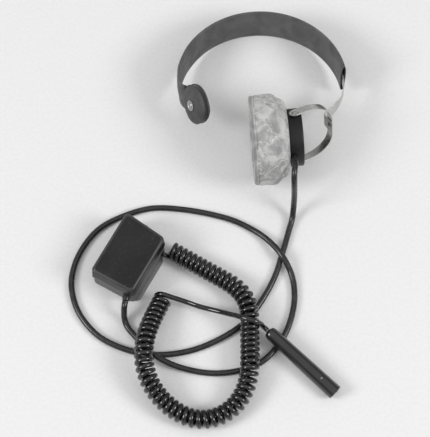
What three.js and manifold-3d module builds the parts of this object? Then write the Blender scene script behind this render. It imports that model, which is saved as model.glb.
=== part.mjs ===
// Single-ear headset with an in-line box, a curly cord and a cord socket, lying on a table.
// Millimetres, +Z up, the table top at z = 0. The +Y end is the crown of the headband.

import * as THREE from 'three';
import { mergeVertices } from 'three/addons/utils/BufferGeometryUtils.js';
import Module from 'manifold-3d';

const wasm = await Module();
wasm.setup();

const DEG = Math.PI / 180;
const GAP = 0.3;                     // air between pieces that touch on the real headset

// Where the headset and the box lie. The frame's origin is under the middle of both.
const MIDDLE = [5.2, 61.8];          // of the headset and box together, in table sketch coordinates
const ARCH_AT = [46.5, 123.9];       // centre of the headband's arc
const ARCH_TILT = 9.75 * DEG;        // the ear end of the arch lies on the cup and is higher
const CUP_AT = [79.8, 68.8];         // middle of the receiver housing
const CUP_TURN = 3.9 * DEG;
const CUP_DIP = -2.2 * DEG;
const CUP_LEAN = -17.9 * DEG;        // how far the pivot line leans from the arch's normal
const YOKE_TURN = 24 * DEG;          // the yoke stands turned this much on its pivots

// Headband: a flattened vinyl sleeve round a spring strip.
const BAND_RADIUS = 84.3;            // middle of the sleeve
const SLEEVE = { width: 40, thick: 5.2, wall: 0.8, from: 10.6, curlFrom: 165, curlRadius: 40, curlTurn: 24 };
const SPRING = { width: 12, thick: 0.6, offset: 0.6, from: 16 };
const SLIDE = { width: 13.6, thick: 0.6, offset: -0.6, from: 6, to: 52, bendRadius: 2.6, tabGap: 8.6 };
const KEEPER = { width: 15.6, thick: 3.1, wall: 0.4, length: 7, at: 24 };

// Temple pad: two leather discs and a felt core clenched on the band's end by an eyelet.
const PAD = { radius: 20.3, rim: 6.5, core: 2.4, dome: 3.4, at: [-65.1, -21.0, 8.2] };
const PAD_TANGENT = [0.54, -0.72, 0.43];
const PAD_OUT = [-0.84, -0.448, 0.296];
const EYELET = { head: 5.4, bore: 1.6, shank: 2.4 };

// Yoke: a C of strip steel that carries the cup on two screws.
const YOKE = { reach: 39, half: 31, width: 9, thick: 1.2, hole: 1.7, rivetHole: 1.9 };
const PIVOT = { boss: 4.4, bossTop: 30.0, shank: 1.35, head: 3.3, headThick: 1.7 };

// Receiver: measured along the cup's own axis, x pointing to the back.
const HOUSING = { radius: 28.5, wall: 2.6, front: -7.2, back: 6.3, backWall: 2.4 };
const CAP = { thick: 3.4, holes: 6, holeRadius: 1.9, holeCircle: 8.5 };
const EAR_HOLE = 20;
const GROMMET = { x: -3.6, z: -1.8, radius: 3.8, length: 6 };

// Cords.
const EAR_CORD = 5.9;
const CURLY = { wire: 5, radius: 7.2, turns: 65, steps: 8, sides: 5 };
const CORD_SIDES = 8;

// In-line box.
const BOX = {
  at: [-83.4, -49.5], turn: 60.8 * DEG, length: 68, width: 48.4, height: 39, cover: 14.5,
  draft: 0.6, edge: 3, wall: 2.2, lip: 1.1, plate: 1.2,
  skew: 2.8,                         // the far end runs this much out of square on each side
  screws: [[-20, 11], [20, -11]], screwHead: 2.6, screwShank: 1.3,
  earGland: [0, -15.4, 17],          // where the earphone cord enters the near short side
  earHeading: [-0.94, -0.342, 0],    // its sleeve points this way
  curlyGland: [23.1, 0, 10.1],       // where the curly cord leaves the long right side
};
const GLAND = { body: 3.2, sleeve: 3.7, tip: 3.35, out: 5.4, sunk: 1.9 };

// Cord socket: a black barrel, open at its square end.
const SOCKET = { from: [51.6, -121.2, 14.5], to: [115.3, -180.4, 7.9], small: 6.7, large: 7.6, bore: 5.6 };

// ---------------------------------------------------------------------------------------------
// Geometry helpers
// ---------------------------------------------------------------------------------------------

const vec = (p) => new THREE.Vector3(...p);

// Closed body from triangles, with its faces turned outwards.
function solidFrom(positions, triangles) {
  let volume = 0;
  const [a, b, c] = [new THREE.Vector3(), new THREE.Vector3(), new THREE.Vector3()];
  for (const [i, j, k] of triangles) {
    volume += a.copy(positions[i]).dot(b.copy(positions[j]).cross(c.copy(positions[k])));
  }
  const order = volume > 0 ? triangles : triangles.map(([i, j, k]) => [i, k, j]);
  const geometry = new THREE.BufferGeometry();
  const numbers = positions.flatMap((p) => p.toArray());
  geometry.setAttribute('position', new THREE.Float32BufferAttribute(numbers, 3));
  geometry.setIndex(order.flat());
  return geometry;
}

// Skin between neighbouring rings of equal length.
function skin(rings, first, flip) {
  const n = rings[0].length;
  const faces = [];
  for (let r = 0; r + 1 < rings.length; r++) {
    for (let i = 0; i < n; i++) {
      const [p, q] = [first + r * n + i, first + r * n + ((i + 1) % n)];
      const quad = [[p, q, q + n], [p, q + n, p + n]];
      for (const [a, b, c] of quad) faces.push(flip ? [a, c, b] : [a, b, c]);
    }
  }
  return faces;
}

// Solid through a row of rings, with a flat fan at each end.
function loft(rings) {
  const n = rings[0].length;
  const positions = rings.flat();
  const faces = skin(rings, 0, false);
  const last = (rings.length - 1) * n;
  for (let i = 1; i + 1 < n; i++) {
    faces.push([0, i + 1, i], [last, last + i, last + i + 1]);
  }
  return solidFrom(positions, faces);
}

// Tube wall between a row of outer rings and a row of inner rings, open at both ends.
function hollowLoft(outer, inner) {
  const n = outer[0].length;
  const base = outer.length * n;
  const faces = [...skin(outer, 0, false), ...skin(inner, base, true)];
  const last = (outer.length - 1) * n;
  for (let i = 0; i < n; i++) {
    const j = (i + 1) % n;
    faces.push([i, base + i, base + j], [i, base + j, j]);
    faces.push([last + i, base + last + j, base + last + i], [last + i, last + j, base + last + j]);
  }
  return solidFrom([...outer.flat(), ...inner.flat()], faces);
}

// Turned part about the x axis, from [x, radius] points that start and end on the axis or close.
function turned(profile, segments = 32, closed = false) {
  const points = profile.map(([x, r]) => new THREE.Vector2(r, x));
  if (closed) points.push(points[0].clone());
  const geometry = new THREE.LatheGeometry(points, segments);
  geometry.rotateZ(-Math.PI / 2);
  return tidy(geometry);
}

const disc = (x0, x1, radius, segments) => turned([[x0, 0], [x0, radius], [x1, radius], [x1, 0]], segments);
const ring = (x0, x1, outer, inner, segments) =>
  turned([[x0, inner], [x0, outer], [x1, outer], [x1, inner]], segments, true);

function tidy(geometry) {
  geometry.deleteAttribute('normal');
  geometry.deleteAttribute('uv');
  const merged = mergeVertices(geometry, 1e-4);
  const index = merged.index.array;
  const position = merged.attributes.position;
  const points = [];
  for (let i = 0; i < position.count; i++) points.push(new THREE.Vector3().fromBufferAttribute(position, i));
  const faces = [];
  for (let i = 0; i < index.length; i += 3) {
    const [a, b, c] = [index[i], index[i + 1], index[i + 2]];
    if (a !== b && b !== c && c !== a) faces.push([a, b, c]);
  }
  return solidFrom(points, faces);
}

function toManifold(geometry) {
  const vertProperties = new Float32Array(geometry.attributes.position.array);
  const triVerts = new Uint32Array(geometry.index.array);
  return new wasm.Manifold(new wasm.Mesh({ numProp: 3, vertProperties, triVerts }));
}

function fromManifold(solid) {
  const mesh = solid.getMesh();
  const geometry = new THREE.BufferGeometry();
  geometry.setAttribute('position', new THREE.Float32BufferAttribute(mesh.vertProperties, 3));
  geometry.setIndex([...mesh.triVerts]);
  return geometry;
}

function cut(geometry, ...tools) {
  let solid = toManifold(geometry);
  for (const tool of tools) solid = solid.subtract(toManifold(tool));
  return fromManifold(solid);
}

function join(geometry, ...others) {
  let solid = toManifold(geometry);
  for (const other of others) solid = solid.add(toManifold(other));
  return fromManifold(solid);
}

// Round bar between two points.
function bar(from, to, radius, segments = 12) {
  const axis = new THREE.Vector3().subVectors(to, from);
  const geometry = tidy(new THREE.CylinderGeometry(radius, radius, axis.length(), segments));
  const turn = new THREE.Quaternion().setFromUnitVectors(vec([0, 1, 0]), axis.clone().normalize());
  geometry.applyQuaternion(turn);
  geometry.translate(...new THREE.Vector3().addVectors(from, to).multiplyScalar(0.5).toArray());
  return geometry;
}

function block(sizes, centre) {
  const geometry = tidy(new THREE.BoxGeometry(...sizes));
  geometry.translate(...centre);
  return geometry;
}

// Rings of a section carried along stations: each has a place, a direction across and one outwards.
function carry(stations, section) {
  return stations.map((s, i) => section(i / (stations.length - 1), s).map(([u, v]) =>
    s.at.clone().addScaledVector(s.across, u).addScaledVector(s.out, v)));
}

const flatBar = (width, low, high) => () =>
  [[-width / 2, low], [width / 2, low], [width / 2, high], [-width / 2, high]];

// Flattened tube section: a superellipse.
function oval(width, thick, count = 14, power = 2.8) {
  const points = [];
  for (let i = 0; i < count; i++) {
    const a = (2 * Math.PI * i) / count;
    const [c, s] = [Math.cos(a), Math.sin(a)];
    points.push([
      (width / 2) * Math.sign(c) * Math.abs(c) ** (2 / power),
      (thick / 2) * Math.sign(s) * Math.abs(s) ** (2 / power),
    ]);
  }
  return points;
}

const smooth = (t) => t * t * (3 - 2 * t);

// ---------------------------------------------------------------------------------------------
// Scene: the table frame, the arch's frame in it, and the cup's and the yoke's frames in that
// ---------------------------------------------------------------------------------------------

const group = new THREE.Group();
const table = new THREE.Group();
table.position.set(-MIDDLE[0], -MIDDLE[1], 0);
group.add(table);

const bandHalfHeight = Math.hypot(
  (SLEEVE.width / 2) * Math.cos(ARCH_TILT),
  (SLEEVE.thick / 2) * Math.sin(ARCH_TILT),
);
const arch = new THREE.Group();
arch.position.set(...ARCH_AT, BAND_RADIUS * Math.sin(ARCH_TILT) + bandHalfHeight);
arch.rotation.x = -ARCH_TILT;
table.add(arch);
arch.updateMatrix();

const CUP_HEIGHT = 45.84;            // the cushion's rim rests on the table
const cup = new THREE.Group();
cup.position.set(...CUP_AT, CUP_HEIGHT).applyMatrix4(arch.matrix.clone().invert());
cup.rotation.set(CUP_LEAN, CUP_DIP, CUP_TURN, 'ZYX');
arch.add(cup);
cup.updateMatrix();

const yokeFrame = new THREE.Group();
yokeFrame.rotation.z = YOKE_TURN;
cup.add(yokeFrame);
yokeFrame.updateMatrix();
const yokeToArch = cup.matrix.clone().multiply(yokeFrame.matrix);

const MATERIALS = {
  vinyl: { color: 0x4c4c4c, roughness: 0.72, metalness: 0 },
  leather: { color: 0x505050, roughness: 0.68, metalness: 0 },
  felt: { color: 0x2c2c2c, roughness: 0.95, metalness: 0 },
  nickel: { color: 0xc9c9c9, roughness: 0.25, metalness: 1 },
  steel: { color: 0xa8a8a8, roughness: 0.35, metalness: 1 },
  bakelite: { color: 0x262626, roughness: 0.42, metalness: 0 },
  chamois: { color: 0xb9b9b9, roughness: 0.88, metalness: 0 },
  rubber: { color: 0x242424, roughness: 0.5, metalness: 0 },
  boxBlack: { color: 0x303030, roughness: 0.55, metalness: 0 },
  boxGrey: { color: 0x5e5e5e, roughness: 0.6, metalness: 0 },
  magnet: { color: 0x6c6c6c, roughness: 0.5, metalness: 0.8 },
  copper: { color: 0xb07040, roughness: 0.4, metalness: 0.9 },
  fibre: { color: 0x8a6a48, roughness: 0.8, metalness: 0 },
  brass: { color: 0xc8a860, roughness: 0.3, metalness: 1 },
};

function piece(name, geometry, finish, parent) {
  const mesh = new THREE.Mesh(geometry, new THREE.MeshStandardMaterial(MATERIALS[finish]));
  mesh.name = name;
  parent.add(mesh);
  return mesh;
}

// ---------------------------------------------------------------------------------------------
// Headband
// ---------------------------------------------------------------------------------------------

const W = new THREE.Vector3(0, 0, 1);

// Station on the arc at an angle, offset outwards.
function onArc(degrees) {
  const out = new THREE.Vector3(Math.cos(degrees * DEG), Math.sin(degrees * DEG), 0);
  return { at: out.clone().multiplyScalar(BAND_RADIUS), across: W.clone(), out };
}

// The arc, the tighter curl at the temple, and the last stretch that turns up into the pad.
function bandStations(fromDegrees) {
  const stations = [];
  const arcSteps = Math.round((SLEEVE.curlFrom - fromDegrees) / 7);
  for (let i = 0; i <= arcSteps; i++) {
    stations.push(onArc(fromDegrees + ((SLEEVE.curlFrom - fromDegrees) * i) / arcSteps));
  }
  const start = onArc(SLEEVE.curlFrom);
  const centre = start.at.clone().addScaledVector(start.out, -SLEEVE.curlRadius);
  const curlSteps = 3;
  for (let i = 1; i <= curlSteps; i++) {
    const angle = (SLEEVE.curlFrom + (SLEEVE.curlTurn * i) / curlSteps) * DEG;
    const out = new THREE.Vector3(Math.cos(angle), Math.sin(angle), 0);
    stations.push({ at: centre.clone().addScaledVector(out, SLEEVE.curlRadius), across: W.clone(), out });
  }
  const end = stations.at(-1);
  const pad = padFrame();
  const entry = pad.at.clone().addScaledVector(pad.along, -(PAD.radius - 1.5));
  const reach = end.at.distanceTo(entry);
  const blend = new THREE.CubicBezierCurve3(
    end.at,
    end.at.clone().addScaledVector(new THREE.Vector3(-end.out.y, end.out.x, 0), reach * 0.36),
    entry.clone().addScaledVector(pad.along, -reach * 0.36),
    entry,
  );
  const blendSteps = 6;
  for (let i = 1; i <= blendSteps; i++) {
    const t = i / blendSteps;
    const along = blend.getTangent(t);
    const across = W.clone().lerp(pad.across, smooth(t)).normalize();
    const out = new THREE.Vector3().crossVectors(along, across).normalize();
    stations.push({ at: blend.getPoint(t), across: new THREE.Vector3().crossVectors(out, along), out });
  }
  for (const reachIn of [11.5, -6]) {
    const at = pad.at.clone().addScaledVector(pad.along, -reachIn);
    stations.push({ at, across: pad.across, out: pad.out });
  }
  return stations;
}

function padFrame() {
  const along = vec(PAD_TANGENT).normalize();
  const out = vec(PAD_OUT);
  out.addScaledVector(along, -out.dot(along)).normalize();
  return { at: vec(PAD.at), along, out, across: new THREE.Vector3().crossVectors(out, along) };
}

function makeSleeve() {
  const stations = bandStations(SLEEVE.from).slice(0, -1);
  const last = stations.length - 1;
  const flat = (t) => smooth(THREE.MathUtils.clamp(1 + (t * last - last + 1) / 6, 0, 1));
  const width = (t) => SLEEVE.width - 15 * flat(t);
  const thick = (t) => SLEEVE.thick - 3.3 * flat(t);
  const outer = carry(stations, (t) => oval(width(t), thick(t)));
  const wall = (t) => SLEEVE.wall * (1 - 0.62 * flat(t));
  const inner = carry(stations, (t) => oval(width(t) - 2 * SLEEVE.wall, thick(t) - 2 * wall(t)));
  piece('headband_sleeve', hollowLoft(outer, inner), 'vinyl', arch);
}

function makeSpring() {
  const stations = bandStations(SPRING.from);
  const last = stations.length - 1;
  const towards = (t) => smooth(THREE.MathUtils.clamp(1 + (t * last - last + 2) / 8, 0, 1));
  const shift = (t) => SPRING.offset * (1 - towards(t));
  const pad = padFrame();
  const half = SPRING.thick / 2;
  const rings = carry(stations, (t) => flatBar(SPRING.width, shift(t) - half, shift(t) + half)());
  const side = (reach) => pad.at.clone().addScaledVector(pad.out, reach);
  const hole = bar(side(-4), side(4), EYELET.shank + GAP);
  piece('headband_spring', cut(loft(rings), hole), 'steel', arch);
}

function makeKeeper() {
  const half = (KEEPER.length / 2 / BAND_RADIUS) / DEG;
  const stations = [onArc(KEEPER.at - half), onArc(KEEPER.at + half)];
  const section = (w, t) => () => [[-w / 2, -t / 2], [w / 2, -t / 2], [w / 2, t / 2], [-w / 2, t / 2]];
  const outer = carry(stations, section(KEEPER.width, KEEPER.thick));
  const inner = carry(stations, section(KEEPER.width - 2 * KEEPER.wall, KEEPER.thick - 2 * KEEPER.wall));
  piece('slide_keeper', hollowLoft(outer, inner), 'steel', arch);
}

// ---------------------------------------------------------------------------------------------
// Temple pad, turned about the axis that runs out of its face
// ---------------------------------------------------------------------------------------------

function makeTemplePad() {
  const { at, along, out, across } = padFrame();
  const frame = new THREE.Group();
  frame.applyMatrix4(new THREE.Matrix4().makeBasis(out, along, across).setPosition(at));
  arch.add(frame);
  const half = PAD.core / 2 + GAP / 2;
  const rim = PAD.rim / 2;
  const r = PAD.radius;
  const bore = EYELET.shank + GAP;
  piece('temple_disc', turned([
    [half, bore], [half, r - 0.4], [half + 0.7, r], [rim - 0.4, r], [rim, r - 0.6],
    [rim + PAD.dome * 0.5, r * 0.8], [rim + PAD.dome * 0.88, r * 0.52], [rim + PAD.dome, r * 0.29],
    [rim + PAD.dome, bore],
  ], 28, true), 'leather', frame);
  piece('temple_pad', turned([
    [-half, bore], [-half, r - 0.4], [-half - 0.5, r], [-rim + 0.3, r], [-rim - 0.5, r - 1],
    [-rim - 1.6, r * 0.8], [-rim - 2.2, r * 0.5], [-rim - 2.2, bore],
  ], 28, true), 'leather', frame);
  const core = ring(-PAD.core / 2, PAD.core / 2, r - 1, bore, 28);
  piece('pad_core', cut(core, block([4, 2 * r, 25.6 + 2 * GAP], [0, -r + 7, 0])), 'felt', frame);
  const top = rim + PAD.dome;
  const bottom = -rim - 2.2;
  piece('temple_eyelet', turned([
    [bottom - 1.2, EYELET.bore], [bottom - 1.2, EYELET.shank], [top + GAP, EYELET.shank],
    [top + GAP, EYELET.head], [top + GAP + 0.4, EYELET.head], [top + GAP + 1.3, EYELET.head * 0.6],
    [top + GAP + 0.8, EYELET.bore],
  ], 18, true), 'nickel', frame);
  const washer = ring(bottom - 1.1, bottom - GAP, EYELET.head, EYELET.shank + 0.15, 18);
  piece('eyelet_washer', washer, 'nickel', frame);
}

// ---------------------------------------------------------------------------------------------
// Slide strip: bent over the yoke's far edge, riveted inside the yoke, curved up into the sleeve
// ---------------------------------------------------------------------------------------------

const TAB_X = YOKE.reach - YOKE.thick / 2 - GAP - SLIDE.thick / 2;

function slideStations() {
  const toArch = (x, y, z) => new THREE.Vector3(x, y, z).applyMatrix4(yokeToArch);
  const direction = (x, y, z) => new THREE.Vector3(x, y, z).transformDirection(yokeToArch);
  const pivotLine = direction(0, 0, 1);
  const stations = [];
  const flatOut = direction(1, 0, 0);
  for (const y of [-6.6, 0, SLIDE.tabGap]) {
    stations.push({ at: toArch(TAB_X, y, 0), across: pivotLine, out: flatOut });
  }
  const bend = 62 * DEG;
  const bendSteps = 5;
  for (let i = 1; i <= bendSteps; i++) {
    const a = (bend * i) / bendSteps;
    const x = TAB_X + SLIDE.bendRadius * (1 - Math.cos(a));
    const y = SLIDE.tabGap + SLIDE.bendRadius * Math.sin(a);
    stations.push({ at: toArch(x, y, 0), across: pivotLine, out: direction(Math.cos(a), -Math.sin(a), 0) });
  }
  const last = stations.at(-1);
  const along = direction(Math.sin(bend), Math.cos(bend), 0);
  const mouth = onArc(SLIDE.from);
  mouth.at.addScaledVector(mouth.out, SLIDE.offset);
  const reach = last.at.distanceTo(mouth.at);
  const curve = new THREE.CubicBezierCurve3(
    last.at,
    last.at.clone().addScaledVector(along, reach * 0.36),
    mouth.at.clone().addScaledVector(new THREE.Vector3(mouth.out.y, -mouth.out.x, 0), reach * 0.36),
    mouth.at,
  );
  const steps = 9;
  for (let i = 1; i < steps; i++) {
    const t = i / steps;
    const tangent = curve.getTangent(t);
    const across = pivotLine.clone().lerp(W, smooth(t)).normalize();
    const out = new THREE.Vector3().crossVectors(tangent, across).normalize();
    stations.push({ at: curve.getPoint(t), across: new THREE.Vector3().crossVectors(out, tangent), out });
  }
  const arcSteps = 9;
  for (let i = 0; i <= arcSteps; i++) {
    const s = onArc(SLIDE.from + ((SLIDE.to - SLIDE.from) * i) / arcSteps);
    s.at.addScaledVector(s.out, SLIDE.offset);
    stations.push(s);
  }
  return stations;
}

function makeSlide() {
  const rings = carry(slideStations(), flatBar(SLIDE.width, -SLIDE.thick / 2, SLIDE.thick / 2));
  const strip = loft(rings);
  const toArch = (x, y, z) => new THREE.Vector3(x, y, z).applyMatrix4(yokeToArch);
  const hole = bar(toArch(TAB_X - 4, 0, 0), toArch(TAB_X + 4, 0, 0), YOKE.rivetHole, 16);
  piece('slide_strip', cut(strip, hole), 'nickel', arch);
  const inside = TAB_X - SLIDE.thick / 2 - GAP;
  const outside = YOKE.reach + YOKE.thick / 2 + 0.35;
  piece('swivel_rivet', turned([
    [inside - 1.0, 0], [inside - 0.9, 2.0], [inside - 0.3, 3.1], [inside, 3.1], [inside, 1.55],
    [outside, 1.55], [outside, 3.2], [outside + 0.7, 3.0], [outside + 1.1, 1.8], [outside + 1.2, 0],
  ], 20), 'nickel', yokeFrame);
}

// ---------------------------------------------------------------------------------------------
// Yoke
// ---------------------------------------------------------------------------------------------

function makeYoke() {
  const stations = [];
  const endPast = 6.2;
  const straight = 9;
  const edge = (x, z, nx, nz) => stations.push({
    at: new THREE.Vector3(x, 0, z), across: new THREE.Vector3(0, 1, 0), out: new THREE.Vector3(nx, 0, nz),
  });
  for (const x of [-endPast, 0, straight]) edge(x, YOKE.half, 0, 1);
  const steps = 17;
  const power = 2.1;
  const flat = 8.5;                  // half of the flat back that the rivet sits in
  const bow = (a) => [
    straight + (YOKE.reach - straight) * Math.cos(a) ** (2 / power),
    Math.sign(Math.sin(a)) * (flat + (YOKE.half - flat) * Math.abs(Math.sin(a)) ** (2 / power)),
  ];
  for (let i = 1; i < steps; i++) {
    const a = Math.PI / 2 - (Math.PI * i) / steps;
    const [x, z] = bow(a);
    const [x1, z1] = bow(a - 0.02);
    const [x0, z0] = bow(a + 0.02);
    const length = Math.hypot(x1 - x0, z1 - z0);
    edge(x, z, -(z1 - z0) / length, (x1 - x0) / length);
  }
  for (const x of [straight, 0, -endPast]) edge(x, -YOKE.half, 0, -1);
  const strip = loft(carry(stations, flatBar(YOKE.width, -YOKE.thick / 2, YOKE.thick / 2)));
  const hole = (from, to, radius) => bar(vec(from), vec(to), radius, 16);
  const corners = [-1, 1].flatMap((sz) => roundedCorners(endPast, sz));
  const yoke = cut(strip,
    hole([0, 0, YOKE.half - 3], [0, 0, YOKE.half + 3], YOKE.hole),
    hole([0, 0, -YOKE.half - 3], [0, 0, -YOKE.half + 3], YOKE.hole),
    hole([YOKE.reach - 3, 0, 0], [YOKE.reach + 3, 0, 0], YOKE.rivetHole),
    ...corners);
  piece('yoke', yoke, 'nickel', yokeFrame);
}

// Pieces taken off the end of an arm so that it ends in a half circle round its pivot.
function roundedCorners(endPast, side) {
  const r = YOKE.width / 2;
  const outline = new THREE.Shape();
  outline.moveTo(0, r);
  const steps = 6;
  for (let i = 1; i <= steps; i++) {
    const a = (Math.PI / 2) * (1 + i / steps);
    outline.lineTo(endPast * Math.cos(a), r * Math.sin(a));
  }
  outline.lineTo(-endPast - 2, 0);
  outline.lineTo(-endPast - 2, r + 2);
  outline.lineTo(0, r + 2);
  outline.closePath();
  return [0, 1].map((mirror) => {
    const geometry = tidy(new THREE.ExtrudeGeometry(outline, { depth: 6, bevelEnabled: false }));
    geometry.translate(0, 0, side * YOKE.half - 3);
    if (mirror) geometry.rotateX(Math.PI).translate(0, 0, 2 * side * YOKE.half);
    return geometry;
  });
}

function makePivots() {
  const inner = YOKE.half - YOKE.thick / 2;
  const outer = YOKE.half + YOKE.thick / 2;
  for (const [name, side] of [['upper', 1], ['lower', -1]]) {
    const frame = new THREE.Group();
    frame.rotation.y = -side * Math.PI / 2;
    cup.add(frame);
    const washer = ring(outer + 0.15, outer + 0.55, 3.4, PIVOT.shank + 0.2, 20);
    piece(`pivot_washer_${name}`, washer, 'steel', frame);
    const under = outer + 0.7;
    const screw = turned([
      [inner - 5.2, 0], [inner - 5.2, PIVOT.shank], [under, PIVOT.shank], [under, PIVOT.head],
      [under + PIVOT.headThick * 0.5, PIVOT.head], [under + PIVOT.headThick, PIVOT.head * 0.62],
      [under + PIVOT.headThick, 0],
    ], 20);
    const slot = block([1.2, 8, 0.8], [under + PIVOT.headThick, 0, 0]);
    piece(`pivot_screw_${name}`, cut(screw, slot), 'nickel', frame);
  }
}

// ---------------------------------------------------------------------------------------------
// Receiver and its cushion, along the cup's axis
// ---------------------------------------------------------------------------------------------

function makeHousing() {
  const { radius, wall, front, back, backWall } = HOUSING;
  const shell = turned([
    [front, radius - wall], [front, radius], [back - 1.3, radius], [back - 0.4, radius - 0.5],
    [back, radius - 1.5], [back, 0], [back - backWall, 0], [back - backWall, radius - wall],
  ], 40, true);
  const bosses = [1, -1].map((s) =>
    bar(vec([0, 0, s * (radius - 2.2)]), vec([0, 0, s * PIVOT.bossTop]), PIVOT.boss, 20));
  const bores = [1, -1].map((s) =>
    bar(vec([0, 0, s * (radius - 6)]), vec([0, 0, s * (PIVOT.bossTop + 2)]), PIVOT.shank + GAP, 12));
  const hole = (y) => vec([GROMMET.x, y, GROMMET.z]);
  const cordHole = bar(hole(-radius + 6), hole(-radius - 6), 2.6 + GAP, 16);
  piece('receiver_housing', cut(join(shell, ...bosses), ...bores, cordHole), 'bakelite', cup);
}

function makeCap() {
  const back = HOUSING.front - GAP;
  const front = back - CAP.thick;
  const outline = new THREE.Shape();
  outline.absarc(0, 0, HOUSING.radius, 0, 2 * Math.PI, false);
  for (let i = 0; i <= CAP.holes; i++) {
    const a = (2 * Math.PI * i) / CAP.holes;
    const r = i < CAP.holes ? CAP.holeCircle : 0;
    const hole = new THREE.Path();
    hole.absarc(r * Math.cos(a), r * Math.sin(a), CAP.holeRadius, 0, 2 * Math.PI, true);
    outline.holes.push(hole);
  }
  const sheet = { depth: CAP.thick, bevelEnabled: false, curveSegments: 9 };
  const plate = tidy(new THREE.ExtrudeGeometry(outline, sheet));
  plate.rotateY(Math.PI / 2).translate(front, 0, 0);
  const recess = disc(back - 1.4, back + 1, HOUSING.radius - HOUSING.wall - 0.5, 36);
  piece('receiver_cap', cut(plate, recess), 'bakelite', cup);
}

// Working parts behind the cap: diaphragm, ring magnet, pole pieces with their coils, terminals.
function makeReceiverInside() {
  const seat = HOUSING.front;
  const floor = HOUSING.back - HOUSING.backWall;
  const inside = HOUSING.radius - HOUSING.wall;
  piece('diaphragm', disc(seat + 1.3, seat + 1.55, inside - 0.4, 32), 'steel', cup);
  piece('diaphragm_ring', ring(seat + 1.9, seat + 3.1, inside - GAP, inside - 2.6, 32), 'brass', cup);
  const magnet = ring(floor - 3.6, floor - GAP, 18, 13.4, 24);
  piece('magnet', magnet, 'magnet', cup);
  const poles = block([1.6, 12, 22], [floor - 1.1, 0, 0]);
  const legs = [1, -1].map((s) => block([6.6, 5, 2.2], [floor - 3.6, 0, s * 6]));
  piece('pole_pieces', join(poles, ...legs), 'magnet', cup);
  for (const [name, s] of [['upper', 1], ['lower', -1]]) {
    const coil = block([3.6, 9.4, 6.2], [floor - 4.1, 0, s * 6]);
    const leg = block([6, 5 + 2 * GAP, 2.2 + 2 * GAP], [floor - 4.1, 0, s * 6]);
    piece(`coil_${name}`, cut(coil, leg), 'copper', cup);
  }
  const at = [floor - GAP - 1.3, -20.6, 4];
  const terminals = block([2.6, 3.4, 10], at);
  const studs = [2.6, -2.6].map((dz) =>
    bar(vec([at[0] - 3, at[1], at[2] + dz]), vec([at[0], at[1], at[2] + dz]), 1.1, 10));
  piece('terminal_block', join(terminals, ...studs), 'fibre', cup);
}

// Ring of padding under chamois: a stepped back that draws in to the receiver, a full rim, a soft front
// and the ear hole. The rim swells and draws in a little between its gathers.
function makeCushion() {
  const profile = [
    [-7.5, 29.2], [-9.0, 31.6], [-10.6, 34.6], [-13.0, 38.2], [-16.2, 39.2], [-18.8, 40.9], [-22.0, 44.0],
    [-27.0, 45.0], [-34.5, 44.8], [-40.6, 44.8], [-43.3, 44.0], [-44.6, 42.0], [-45.1, 37.0], [-44.9, 31.0],
    [-43.0, 25.2], [-38.8, 21.6], [-31.0, EAR_HOLE], [-18.0, EAR_HOLE], [-11.6, EAR_HOLE + 0.6],
    [-11.3, 29.2],
  ];
  const segments = 44;
  const gathers = 11;
  const rings = [];
  for (let k = 0; k < segments; k++) {
    const a = (2 * Math.PI * k) / segments;
    rings.push(profile.map(([x, r], i) => {
      const soft = i > 1 && i < 16 ? smooth(Math.min(1, (r - EAR_HOLE) / 25)) : 0;
      const swell = soft * (0.45 * Math.sin(gathers * a + 0.35 * i) - 0.45);
      return new THREE.Vector3(x + 0.5 * swell, (r + swell) * Math.sin(a), (r + swell) * Math.cos(a));
    }));
  }
  rings.push(rings[0]);
  const n = profile.length;
  const faces = skin(rings, 0, false);
  const wrapped = faces.map((f) => f.map((i) => i % (segments * n)));
  piece('ear_cushion', solidFrom(rings.slice(0, segments).flat(), wrapped), 'chamois', cup);
}

function makeGrommet() {
  const { x, z, radius, length } = GROMMET;
  const frame = new THREE.Group();
  frame.position.set(x, -HOUSING.radius - GAP, z);
  frame.rotation.z = -Math.PI / 2;
  cup.add(frame);
  piece('cord_grommet', turned([
    [-2.6, 0], [-2.6, 2.5], [0.1, 2.5], [0.1, radius], [1.2, radius], [length - 3, radius * 0.86],
    [length, radius * 0.82], [length, 0],
  ], 16), 'rubber', frame);
}

// ---------------------------------------------------------------------------------------------
// In-line box
// ---------------------------------------------------------------------------------------------

const boxFrame = new THREE.Group();
boxFrame.position.set(...BOX.at, 0);
boxFrame.rotation.z = BOX.turn;
table.add(boxFrame);

// Rounded rectangle as a ring of points at a height, drawn in by an inset; a radius for each corner.
function roundedRing(inset, radii, z, corner = 3) {
  const [halfX, halfY] = [BOX.length / 2 - inset, BOX.width / 2 - inset];
  const points = [];
  [[1, 1], [-1, 1], [-1, -1], [1, -1]].forEach(([sx, sy], quarter) => {
    const r = Math.max(radii[quarter] - inset * 0.5, 1);
    for (let i = 0; i <= corner; i++) {
      const a = (Math.PI / 2) * (quarter + i / corner);
      const [x, y] = [sx * (halfX - r) + r * Math.cos(a), sy * (halfY - r) + r * Math.sin(a)];
      points.push(vec([x + (BOX.skew * 4 * Math.max(x, 0) * y) / (BOX.length * BOX.width), y, z]));
    }
  });
  return points;
}

function makeBoxCover() {
  const { height, cover, draft, edge, wall } = BOX;
  const split = height - cover;
  const radii = [5, 5, 5.5, 5.5];
  const outer = [
    roundedRing(0.5, radii, split),
    roundedRing(0, radii, split + 1.1),
    roundedRing(0.1, radii, split + 2.6),
  ];
  const bend = 3;
  for (let i = 0; i <= bend; i++) {
    const a = (Math.PI / 2) * (i / bend);
    outer.push(roundedRing(draft + edge * (1 - Math.cos(a)), radii, height - edge + edge * Math.sin(a)));
  }
  const inside = loft([
    roundedRing(wall, radii, split - 1),
    roundedRing(draft + wall + 0.6, radii, height - wall),
  ]);
  piece('box_cover', cut(loft(outer), inside), 'boxBlack', boxFrame);
}

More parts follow.
